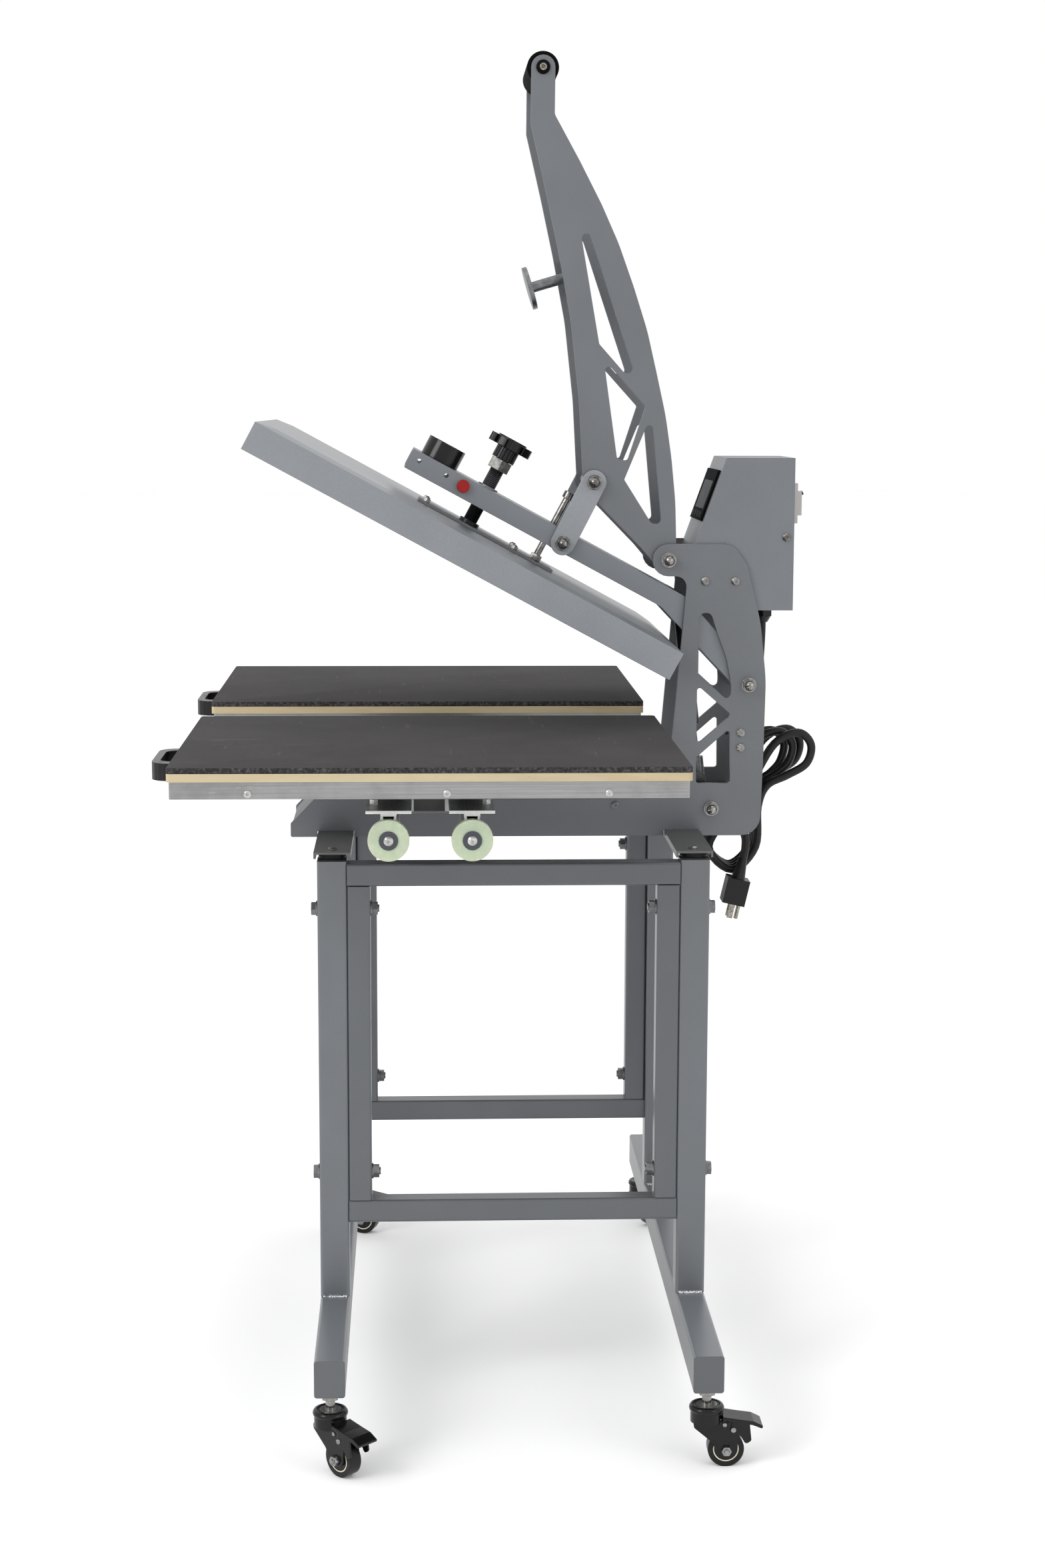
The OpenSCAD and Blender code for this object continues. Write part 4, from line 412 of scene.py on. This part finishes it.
def foam(name, rgba):
    """Closed-cell silicone foam: pores, faint pale scuffs, and a coarse torn grain on the cut edge."""
    f = Finish(name, specular_ior_level=0.22)
    pores = f.cells(1500)
    coarse = f.noise(300, 4.0, 0.75)
    side = abs(f.upward()).between(0.75, 0.35)
    cloud = f.noise(9, 4.0, 0.6)
    scuff = f.noise(1.0, 4.0, 0.7, f.stretched(38, 9, 38)).between(0.62, 0.78)
    line = f.noise(1.0, 1.0, 0.5, f.stretched(14, 190, 14)).between(0.74, 0.76)
    tone = f.mix(cloud.between(0.3, 0.7), shade(rgba, 0.9), shade(rgba, 1.12))
    tone = f.mix(scuff * 0.4 + line * 0.4, tone, shade(rgba, 2.2))
    tone = f.mix(coarse.between(0.45, 0.7) * 0.5, tone, shade(rgba, 0.72))
    tone = f.mix(side * coarse.between(0.4, 0.62), tone, shade(rgba, 0.35))
    tone = f.mix(side * coarse.between(0.44, 0.36), tone, shade(rgba, 1.7))
    f.set(base_color=tone, roughness=scuff * -0.12 + 0.86,
          normal=f.bump(pores * 0.4 + coarse * (0.5 + side * 2.0), 0.00025))
    return f.material


def mineral_board(name, rgba):
    """Cream heat-proof board, browner towards its ends and on the far platen."""
    f = Finish(name, specular_ior_level=0.3)
    speck = f.noise(420, 4.0, 0.7)
    stain = f.noise(1.0, 4.0, 0.6, f.stretched(12, 12, 60))
    ends = abs(f.y - BOARD_Y).between(*BOARD_BROWNING)
    far = f.x.below(0.0)
    tone = f.mix(stain.between(0.35, 0.75), shade(rgba, 1.02), shade(rgba, 0.9))
    tone = f.mix((ends * 0.45 + far * 0.35) * stain.between(0.2, 0.8), tone, linear(176, 153, 114))
    tone = f.mix(speck.between(0.62, 0.72) * 0.35, tone, linear(150, 120, 84))
    f.set(base_color=tone, roughness=speck * 0.2 + 0.55, normal=f.bump(speck, 0.00008))
    return f.material


def urethane(name, rgba):
    """Cast polyurethane, cloudy and a little see-through."""
    f = Finish(name, transmission_weight=0.22, ior=1.4, subsurface_weight=0.35, subsurface_scale=0.01,
               coat_weight=0.0)
    haze = f.noise(90, 3.0, 0.6)
    f.set(base_color=f.mix(haze.between(0.3, 0.7), shade(rgba, 0.93), shade(rgba, 1.06)),
          roughness=haze * 0.12 + 0.2, normal=f.bump(haze, 0.00005))
    return f.material


def dull_glass(name, rgba):
    """Dark matt glass with faint smears."""
    f = Finish(name, specular_ior_level=0.03)
    smear = f.noise(60, 4.0, 0.6)
    f.set(base_color=f.mix(smear.between(0.35, 0.7), rgba, shade(rgba, 0.8)), roughness=smear * 0.12 + 0.4)
    return f.material


def felt(name, rgba):
    """Loose mineral fibre felt."""
    f = Finish(name)
    fibre = f.noise(1.0, 5.0, 0.7, f.stretched(900, 260, 900))
    f.set(base_color=f.mix(fibre.between(0.35, 0.65), shade(rgba, 0.8), rgba), roughness=fibre * 0.1 + 0.85,
          normal=f.bump(fibre, 0.0003))
    return f.material


def dress(finish, *names):
    """Gives CAD nodes one finish in every slot."""
    for name in names:
        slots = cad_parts[name].data.materials
        if not slots:
            slots.append(finish)
        for index in range(len(slots)):
            slots[index] = finish


def show(name, data):
    """Puts new data in the scene as an object."""
    made = bpy.data.objects.new(name, data)
    bpy.context.scene.collection.objects.link(made)
    return made


def piece(name, body, mesh, finish, replaced=()):
    """Turns a finished bmesh into a shown piece that rides on a body."""
    data = bpy.data.meshes.new(name)
    bmesh.ops.recalc_face_normals(mesh, faces=mesh.faces)
    mesh.to_mesh(data)
    mesh.free()
    data.materials.append(finish)
    made = show(name, data)
    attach(made, body)
    if replaced:
        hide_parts(*replaced)
    return made


def smooth(made, angle=35):
    """Smooth shading with sharp edges kept."""
    for polygon in made.data.polygons:
        polygon.use_smooth = True
    made.data.set_sharp_from_angle(angle=math.radians(angle))
    return made


# The power cord's route, in millimetres, as the solids have it: from the gland down to the tie, the fold of one
# turn of the hank as Y and Z, and from the tie down to the plug, with Y from the middle of the stand
CORD_TOP = (0, 292, 876.5)
LEAD = ((0, 292, 858), (0, 292, 840), (0, 291, 815), (-4, 290, 790), (-10, 290, 765), (-16, 290, 740),
        (-22, 288, 710), (-24, 283, 673.6))
LOOP = ((278, 665), (258, 632), (233, 591), (260, 564), (287, 591), (289, 638), (299, 663), (322, 675),
        (344, 689), (348.6, 711), (333, 725), (306, 712))
LOOPS, LOOP_PITCH = 4, 12
# How far each turn's upper fold is moved in Y, from what height, and over what rise it comes in
FAN = (-8, -28, -20, 0)
FAN_LOW, FAN_RISE = 655.5, 35
PLUG_TILT, PLUG_LEAD = math.radians(13), 10
TAIL_END = (34, 270.7, 581.2)
TAIL = ((25, 268, 640), (29.5, 268, 621), (33.5, 273, 604.5),
        (TAIL_END[0], TAIL_END[1] + PLUG_LEAD * math.sin(PLUG_TILT), TAIL_END[2] + PLUG_LEAD * math.cos(PLUG_TILT)))
TIE = Vector((0, 278, 665))
TIE_STEP = Vector((0, -5.1, -8.6))
# Points that the curve gets between two of the route's
CORD_STEPS = 6


def placed(point):
    """A point in millimetres, with Y from the stand's middle, as a place in the frame, in metres."""
    return (Vector(point) + Vector((0, STAND_Y, 0))) * MM


def curve_through(points):
    """The smooth curve through points that the solids' sweep uses."""
    points = [Vector(p) for p in points]
    found = []
    for i in range(len(points) - 1):
        a, b = points[max(i - 1, 0)], points[i]
        c, d = points[i + 1], points[min(i + 2, len(points) - 1)]
        for j in range(CORD_STEPS):
            t = j / CORD_STEPS
            found.append((b * 2 + (c - a) * t + (a * 2 - b * 5 + c * 4 - d) * t * t
                          + (b * 3 - a - c * 3 + d) * t ** 3) / 2)
    return found + [points[-1]]


def hank_point(i):
    """The i-th point of the hank, its upper fold moved forward by its turn's share of the fan."""
    y, z = LOOP[i % len(LOOP)]
    share = min(1, max(0, (z - FAN_LOW) / FAN_RISE))
    return Vector((LOOP_PITCH * (i / len(LOOP) - LOOPS / 2), y + FAN[i // len(LOOP)] * share, z))


def cord_route():
    """The whole cord, from inside the gland through the hank to the plug."""
    half = LOOP_PITCH * LOOPS / 2
    left, right = Vector((-half, 0, 0)), Vector((half, 0, 0))
    turns = [hank_point(i) for i in range(1, LOOPS * len(LOOP))]
    hank = curve_through([left + TIE + TIE_STEP, *turns, right + TIE - TIE_STEP])
    tail = curve_through([right + TIE + TIE_STEP, *TAIL])
    route = [CORD_TOP, *curve_through(LEAD), left + TIE, *hank, right + TIE, *tail, TAIL_END]
    return [placed(p) for p in route]


def grip_screw(f):
    """A mask of the heads of the grip's screws, outside the lever's plates."""
    low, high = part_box("lever_grip")
    y, z = f.y - (low.y + high.y) / 2, f.z - (low.z + high.z) / 2
    return (y * y + z * z).below(GRIP_SCREW_RADIUS ** 2) * abs(f.x).above(GRIP_SCREW_START)


def past_plug(f):
    """A mask of the plug's blades, which stand out of its body."""
    end = placed(TAIL_END)
    down = (f.y - end.y) * -math.sin(PLUG_TILT) + (f.z - end.z) * -math.cos(PLUG_TILT)
    return down.above(PLUG_BODY)


def add_box(mesh, middle, size):
    """Adds a box about its middle."""
    bmesh.ops.create_cube(mesh, size=1.0, matrix=Matrix.Translation(middle) @ Matrix.Diagonal((*size, 1.0)))


def box_mesh(low, high):
    """A bmesh of one box between two corners."""
    mesh = bmesh.new()
    add_box(mesh, (Vector(low) + Vector(high)) / 2, Vector(high) - Vector(low))
    return mesh


def round_edges(mesh, edges, radius, segments):
    """Rounds edges with an even radius."""
    bmesh.ops.bevel(mesh, geom=list(edges), offset=radius, offset_type="OFFSET", segments=segments, profile=0.5,
                    affect="EDGES", material=-1, clamp_overlap=True)


def upright_edges(mesh):
    """The edges that stand upright."""
    return [e for e in mesh.edges if abs((e.verts[0].co - e.verts[1].co).normalized().z) > 0.99]


class PRESS_OT_paint(bpy.types.Operator):
    """Paints the sheet metal and tubes"""
    bl_idname = "press.paint"
    bl_label = "Painted metal"

    def execute(self, context):
        c = context.scene.press_colours
        # Painted shade: the plates get the grey paint darkened by their share, standing in for the shade they stand
        # in
        plate = powder_coat("plate_paint_painted_shade", shade(c.paint, PLATE_PAINTED_SHADE))
        dress(plate, "right_side_plate", "left_side_plate", "lever_plates", "shuttle_plate")
        # Painted light: the arm gets the grey paint lightened to 1.16, standing in for the light on its sides
        dress(powder_coat("arm_paint_painted_light", shade(c.paint, 1.16)), "press_arm")
        # Painted shadow: the base cover gets the grey paint darkened to 0.42, standing in for the shadow under the
        # platens
        dress(powder_coat("cover_painted_shadow", shade(c.paint, 0.42)), "base_cover")
        dress(powder_coat("box_paint", tuple(c.paint), steel=beyond(BOX_SIDE)), "control_box")
        # Painted shade: the head's faces that look up are darkened to 0.81 of its grey, against the light from
        # above
        dress(powder_coat("head_paint_shaded_top", shade(c.paint, 1.45), 0.36, top=0.81), "head_cover")
        dress(powder_coat("mount_paint", tuple(c.paint), steel=lambda f: up_arm(f).above(MOUNT_TOP)), "head_mount")
        # Painted light and shade: the foot tubes' upright faces get the grey darkened to 0.66, and the faces that
        # look up a lit copy 1.76 times that
        dress(powder_coat("foot_paint_painted_light", shade(c.paint, 0.66), 0.34, 0.7, 0.2, top=1.76), "foot_tubes")
        # Painted shade: the side frames get the grey paint darkened to 0.7, for the shade under the platens
        dress(powder_coat("frame_paint_painted_shade", shade(c.paint, 0.7), 0.34, 0.7, 0.2), "side_frames")
        # Painted shade: the legs get the grey paint darkened to 0.88
        dress(powder_coat("leg_paint_painted_shade", shade(c.paint, 0.88), 0.34, 0.7, 0.2, leg_welds), "legs")
        dress(powder_coat("dark_paint", tuple(c.dark_paint)), "foot_channels", "bearing_tray")
        dress(powder_coat("link_paint", tuple(c.link_paint), steel=beyond(LINK_FACE)), "toggle_links")
        return {"FINISHED"}


class PRESS_OT_metal(bpy.types.Operator):
    """Finishes the bare, plated and blackened metal"""
    bl_idname = "press.metal"
    bl_label = "Bare metal"

    def execute(self, context):
        c = context.scene.press_colours
        dress(zinc("zinc_plate", c.zinc, 0.34), "stand_bolts", "cross_shafts", "armature", "strut_rod")
        dress(zinc("chrome", c.chrome, 0.12), "caster_stems")
        dress(zinc("stainless", c.stainless, 0.16), "acorn_nuts")
        dress(zinc("small_screws", c.stainless, 0.2, painted=shade(c.paint, PLATE_PAINTED_SHADE)), "column_screws")
        dress(zinc("shuttle_steel", c.bracket, 0.24, 0.7, washer=tuple(c.washer)), "shuttle_screws")
        dress(brushed("sawn_aluminium", c.aluminium), "platen_frames", "bearing_blocks")
        dress(brushed("rail_metal", c.rail, "x"), "linear_rails", "heating_plate")
        dress(screw_metal("black_oxide", c.oxide), "pressure_screw")
        return {"FINISHED"}


class PRESS_OT_small_parts(bpy.types.Operator):
    """Finishes the plastic, rubber and gloss black parts"""
    bl_idname = "press.small_parts"
    bl_label = "Plastic and rubber"

    def execute(self, context):
        c = context.scene.press_colours
        black = tuple(c.black)
        gloss = moulded("gloss_black", black, 0.16, 0.00001, 300)
        satin = moulded("satin_black", black, 0.32)
        grip = moulded("grip_rubber", black, 0.8, 0.00006, 500, grip_screw, specular_ior_level=0.04)
        matt = moulded("display_plastic", black, 0.7, 0.00002, 600, specular_ior_level=0.02)
        dress(gloss, "electromagnet", "strut_cylinder")
        dress(satin, "platen_handles", "pressure_knob", "cord_gland", "breaker_toggle")
        for corner in CASTERS:
            dress(gloss, corner + "_fork", corner + "_pedal")
            dress(satin, corner + "_wheel")
        dress(matt, "display_unit")
        dress(grip, "lever_grip")
        dress(moulded("black_rubber", black, 0.5, 0.00006, 500), "rubber_feet")
        dress(moulded("plug_rubber", black, 0.34, 0.00003, 500, past_plug), "power_plug")
        dress(moulded("red_plastic", tuple(c.button), 0.2, 0.00001), "push_button")
        dress(moulded("light_plastic", tuple(c.breaker), 0.42), "breaker_body")
        dress(moulded("solder_mask", tuple(c.circuit), 0.35), "control_electronics")
        dress(urethane("urethane", c.bumper), "rail_bumpers")
        dress(mineral_board("mineral_board", c.board), "platen_boards")
        dress(felt("fibre_felt", tuple(c.felt)), "insulation")
        return {"FINISHED"}


class PRESS_OT_pads(bpy.types.Operator):
    """Lays the foam pads on the platens"""
    bl_idname = "press.pads"
    bl_label = "Foam pads"

    def execute(self, context):
        sizes = context.scene.press_sizes
        finish = foam("silicone_foam", context.scene.press_colours.foam)
        low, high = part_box("press_pads")
        inner = min(v.co.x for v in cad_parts["press_pads"].data.vertices if v.co.x > 0)
        for name, x0, x1 in (("right_pad", inner, high.x), ("left_pad", low.x, -inner)):
            mesh = box_mesh((x0, low.y, low.z), (x1, high.y, high.z))
            round_edges(mesh, upright_edges(mesh), sizes.pad_corner, 6)
            flat = [e for e in mesh.edges if abs(e.verts[0].co.z - e.verts[1].co.z) < 1e-6]
            round_edges(mesh, flat, sizes.pad_round, 3)
            smooth(piece(name, "shuttle", mesh, finish, ("press_pads",)), 50)
        return {"FINISHED"}


class PRESS_OT_cord(bpy.types.Operator):
    """Draws the power cord from its gland through the hank to the plug"""
    bl_idname = "press.cord"
    bl_label = "Power cord"

    def execute(self, context):
        width = context.scene.press_sizes.cord_width
        route = cord_route()
        line = bpy.data.curves.new("power_cord", "CURVE")
        line.dimensions = "3D"
        line.bevel_depth = width / 2
        line.bevel_resolution = 5
        line.use_fill_caps = True
        spline = line.splines.new("POLY")
        spline.points.add(len(route) - 1)
        for point, place in zip(spline.points, route):
            point.co = (*place, 1.0)
        black = tuple(context.scene.press_colours.black)
        line.materials.append(moulded("cord_rubber", black, 0.4, 0.00004, 500))
        made = show("power_cord", line)
        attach(made, "stand")
        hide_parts("cord_lead", "cord_hank", "cord_tail")
        return {"FINISHED"}


def arm_place():
    """Places a piece drawn with X across the arm, -Y along it and Z out of it, from the arm's pivot."""
    return Matrix.Translation(ARM_PIVOT) @ Matrix.Rotation(-OPEN, 4, "X")


def outline_slab(mesh, outline, low, high):
    """Adds a slab with the given outline between two heights."""
    face = mesh.faces.new([mesh.verts.new((x, y, low)) for x, y in outline])
    grown = bmesh.ops.extrude_face_region(mesh, geom=[face])["geom"]
    top = [part for part in grown if isinstance(part, bmesh.types.BMVert)]
    bmesh.ops.translate(mesh, verts=top, vec=(0, 0, high - low))


def spun(mesh, corners, steps=48):
    """Turns a closed section about the Z axis into a ring."""
    section = [*corners, *dict.fromkeys(edge for corner in corners for edge in corner.link_edges)]
    bmesh.ops.spin(mesh, geom=section, cent=(0, 0, 0), axis=(0, 0, 1), angle=2 * math.pi, steps=steps,
                   use_merge=True)


def flat_ring(mesh, inner, outer, low, high):
    """Adds a flat ring between two heights."""
    corners = [mesh.verts.new((outer, 0, low)), mesh.verts.new((outer, 0, high)),
               mesh.verts.new((inner, 0, high)), mesh.verts.new((inner, 0, low))]
    for pair in zip(corners, corners[1:] + corners[:1]):
        mesh.edges.new(pair)
    spun(mesh, corners)


def round_ring(mesh, radius, height, thickness, segments=14):
    """Adds a ring of round section."""
    upright = Matrix.Rotation(math.radians(90), 4, "X") @ Matrix.Rotation(math.radians(90), 4, "Z")
    circle = bmesh.ops.create_circle(mesh, cap_ends=False, segments=segments, radius=thickness,
                                     matrix=Matrix.Translation((radius, 0, height)) @ upright)
    spun(mesh, circle["verts"])


def toothed(teeth, outer, inner, steps=3):
    """Outline of a star with square teeth."""
    outline = []
    for tooth in range(teeth):
        for radius, (start, end) in ((outer, TOOTH_TOP), (inner, TOOTH_GAP)):
            for i in range(steps + 1):
                angle = 2 * math.pi * (tooth + start + (end - start) * i / steps) / teeth
                outline.append((radius * math.cos(angle), radius * math.sin(angle)))
    return outline


class PRESS_OT_knob(bpy.types.Operator):
    """Makes the star knob of the pressure screw"""
    bl_idname = "press.knob"
    bl_label = "Pressure knob"

    def execute(self, context):
        mesh = bmesh.new()
        for teeth, outer, inner, low, high in KNOB_STARS:
            outline_slab(mesh, toothed(teeth, outer * MM, inner * MM), low * MM, high * MM)
        radius, low, high = (size * MM for size in KNOB_BOSS)
        bmesh.ops.create_cone(mesh, cap_ends=True, segments=48, radius1=radius, radius2=radius, depth=high - low,
                              matrix=Matrix.Translation((0, 0, (low + high) / 2)))
        mesh.transform(arm_place() @ Matrix.Translation((0, -KNOB_REACH * MM, 0)))
        finish = moulded("knob_plastic", tuple(context.scene.press_colours.black), 0.26, 0.00003, 600)
        smooth(piece("star_knob", "screw", mesh, finish, ("pressure_knob",)), 40)
        return {"FINISHED"}


def caster_place(name):
    """Places a piece drawn about the Z axis on a caster's stem, turned as the caster stands."""
    side, end, turn = CASTERS[name]
    stem = Matrix.Translation(placed((side * STEM_X, end * STEM_Y, 0)))
    return stem @ Matrix.Rotation(math.radians(turn), 4, "Z")


class PRESS_OT_wheel_rings(bpy.types.Operator):
    """Lays the cream rings in the faces of the caster wheels"""
    bl_idname = "press.wheel_rings"
    bl_label = "Wheel rings"

    def execute(self, context):
        finish = moulded("cream_ring", tuple(context.scene.press_colours.ring), 0.4)
        inner, outer, low, high = (size * MM for size in WHEEL_RING)
        axle = Matrix.Translation((0, AXLE_Y * MM, AXLE_Z * MM)) @ Matrix.Rotation(math.radians(90), 4, "Y")
        for name in CASTERS:
            mesh = bmesh.new()
            flat_ring(mesh, inner, outer, low, high)
            flat_ring(mesh, inner, outer, -high, -low)
            mesh.transform(caster_place(name) @ axle)
            smooth(piece(name + "_rings", name + "_wheel", mesh, finish))
        return {"FINISHED"}


class PRESS_OT_caster_nuts(bpy.types.Operator):
    """Fits the axle nuts, the pedal rivets and the rounded rims of the casters"""
    bl_idname = "press.caster_nuts"
    bl_label = "Caster nuts and rims"

    def execute(self, context):
        c = context.scene.press_colours
        steel = zinc("caster_steel", c.axle_steel, 0.26)
        gloss = moulded("rim_black", tuple(c.black), 0.16, 0.00001, 300)
        for name in CASTERS:
            rim = bmesh.new()
            round_ring(rim, *(size * MM for size in CASTER_RIM))
            rim.transform(caster_place(name))
            smooth(piece(name + "_rim", name + "_caster", rim, gloss))
            nuts = bmesh.new()
            for y, z, radius, start, reach, sides in CASTER_NUTS:
                for face in (1, -1):
                    place = Matrix.Translation(Vector((face * (start + reach / 2), y, z)) * MM)
                    bmesh.ops.create_cone(nuts, cap_ends=True, segments=sides, radius1=radius * MM,
                                          radius2=radius * NUT_TAPER * MM, depth=reach * MM,
                                          matrix=place @ Matrix.Rotation(math.radians(90) * face, 4, "Y"))
            nuts.transform(caster_place(name))
            smooth(piece(name + "_nuts", name + "_caster", nuts, steel), 30)
        return {"FINISHED"}


class PRESS_OT_display(bpy.types.Operator):
    """Fits the glass and the keys of the display"""
    bl_idname = "press.display"
    bl_label = "Display"

    def execute(self, context):
        c = context.scene.press_colours
        slant = Matrix.Translation(BOX_NOSE) @ Matrix.Rotation(-BOX_SLANT, 4, "X")
        mesh = box_mesh(*(Vector(corner) * MM for corner in GLASS))
        mesh.transform(slant)
        piece("display_glass", "stand", mesh, dull_glass("display_glass", tuple(c.screen)))
        keys = bmesh.new()
        for i in range(KEYS):
            middle = Vector((KEY_PITCH * (i - (KEYS - 1) / 2), *KEY_PLACE))
            add_box(keys, middle * MM, Vector(KEY_SIZE) * MM)
        round_edges(keys, keys.edges, 0.4 * MM, 2)
        keys.transform(slant)
        rubber = moulded("key_rubber", tuple(c.key), 0.7, specular_ior_level=0.05)
        smooth(piece("display_keys", "stand", keys, rubber))
        return {"FINISHED"}


def lay_floor(scene):
    """Lays the pale floor."""
    f = Finish("studio_floor", roughness=0.9, specular_ior_level=0.1)
    pale = scene.press_colours.floor
    f.set(base_color=f.mix(f.noise(2, 2.0) * 0.1, tuple(pale), shade(pale, 0.98)))
    mesh = bmesh.new()
    bmesh.ops.create_grid(mesh, x_segments=1, y_segments=1, size=30.0)
    data = bpy.data.meshes.new("floor")
    mesh.to_mesh(data)
    mesh.free()
    data.materials.append(f.material)
    show("floor", data)


def light_studio(scene):
    """Sets the white surroundings and the lamps."""
    scene.world = bpy.data.worlds.new("studio")
    scene.world.use_nodes = True
    background = scene.world.node_tree.nodes["Background"]
    background.inputs["Color"].default_value = (1.0, 1.0, 1.0, 1.0)
    background.inputs["Strength"].default_value = 1.0
    for name, (place, height, size, power) in LAMPS.items():
        lamp = bpy.data.lights.new(name, "AREA")
        lamp.shape = "RECTANGLE"
        lamp.size, lamp.size_y = size
        lamp.energy = power
        made = show(name, lamp)
        made.location = place
        made.rotation_euler = (Vector((0, 0, height)) - Vector(place)).to_track_quat("-Z", "Y").to_euler()


def aim_camera(scene):
    """Stands the camera where the photograph was taken from."""
    turn, tilt, roll = (math.radians(angle) for angle in CAMERA_TURNS)
    forward = Vector((-math.cos(turn) * math.cos(tilt), math.sin(turn) * math.cos(tilt), -math.sin(tilt)))
    level = Vector((math.sin(turn), math.cos(turn), 0))
    rise = level.cross(forward)
    right = math.cos(roll) * level + math.sin(roll) * rise
    up = -math.sin(roll) * level + math.cos(roll) * rise
    lens = bpy.data.cameras.new("camera")
    lens.sensor_width = 36.0
    lens.lens = CAMERA_LENS
    lens.clip_end = 50
    scene.camera = show("camera", lens)
    facing = Matrix((right, up, -forward)).transposed().to_4x4()
    scene.camera.matrix_world = Matrix.Translation(CAMERA_PLACE) @ facing


class PRESS_OT_stage(bpy.types.Operator):
    """Sets the floor, the lights and the camera"""
    bl_idname = "press.stage"
    bl_label = "Floor, light and camera"

    def execute(self, context):
        lay_floor(context.scene)
        light_studio(context.scene)
        aim_camera(context.scene)
        context.scene.view_settings.view_transform = "Standard"
        return {"FINISHED"}


class PRESS_PT_panel(bpy.types.Panel):
    """Lists the press's colours, sizes and steps"""
    bl_idname = "PRESS_PT_panel"
    bl_label = "Heat press"
    bl_space_type = "VIEW_3D"
    bl_region_type = "UI"
    bl_category = "Heat press"

    def draw(self, context):
        for group in (context.scene.press_colours, context.scene.press_sizes):
            for name in group.__annotations__:
                self.layout.prop(group, name)
        for step in STEPS:
            self.layout.operator(step.bl_idname)


STEPS = (PRESS_OT_paint, PRESS_OT_metal, PRESS_OT_small_parts, PRESS_OT_pads, PRESS_OT_cord, PRESS_OT_knob,
         PRESS_OT_wheel_rings, PRESS_OT_caster_nuts, PRESS_OT_display, PRESS_OT_stage)
CLASSES = (PressColours, PressSizes, *STEPS, PRESS_PT_panel)


def register():
    for made in CLASSES:
        bpy.utils.register_class(made)
    bpy.types.Scene.press_colours = PointerProperty(type=PressColours)
    bpy.types.Scene.press_sizes = PointerProperty(type=PressSizes)


def unregister():
    del bpy.types.Scene.press_sizes
    del bpy.types.Scene.press_colours
    for made in reversed(CLASSES):
        bpy.utils.unregister_class(made)


def main():
    register()
    for step in STEPS:
        getattr(bpy.ops.press, step.bl_idname.removeprefix("press."))()
    bpy.context.view_layer.update()


if __name__ == "__main__":
    main()
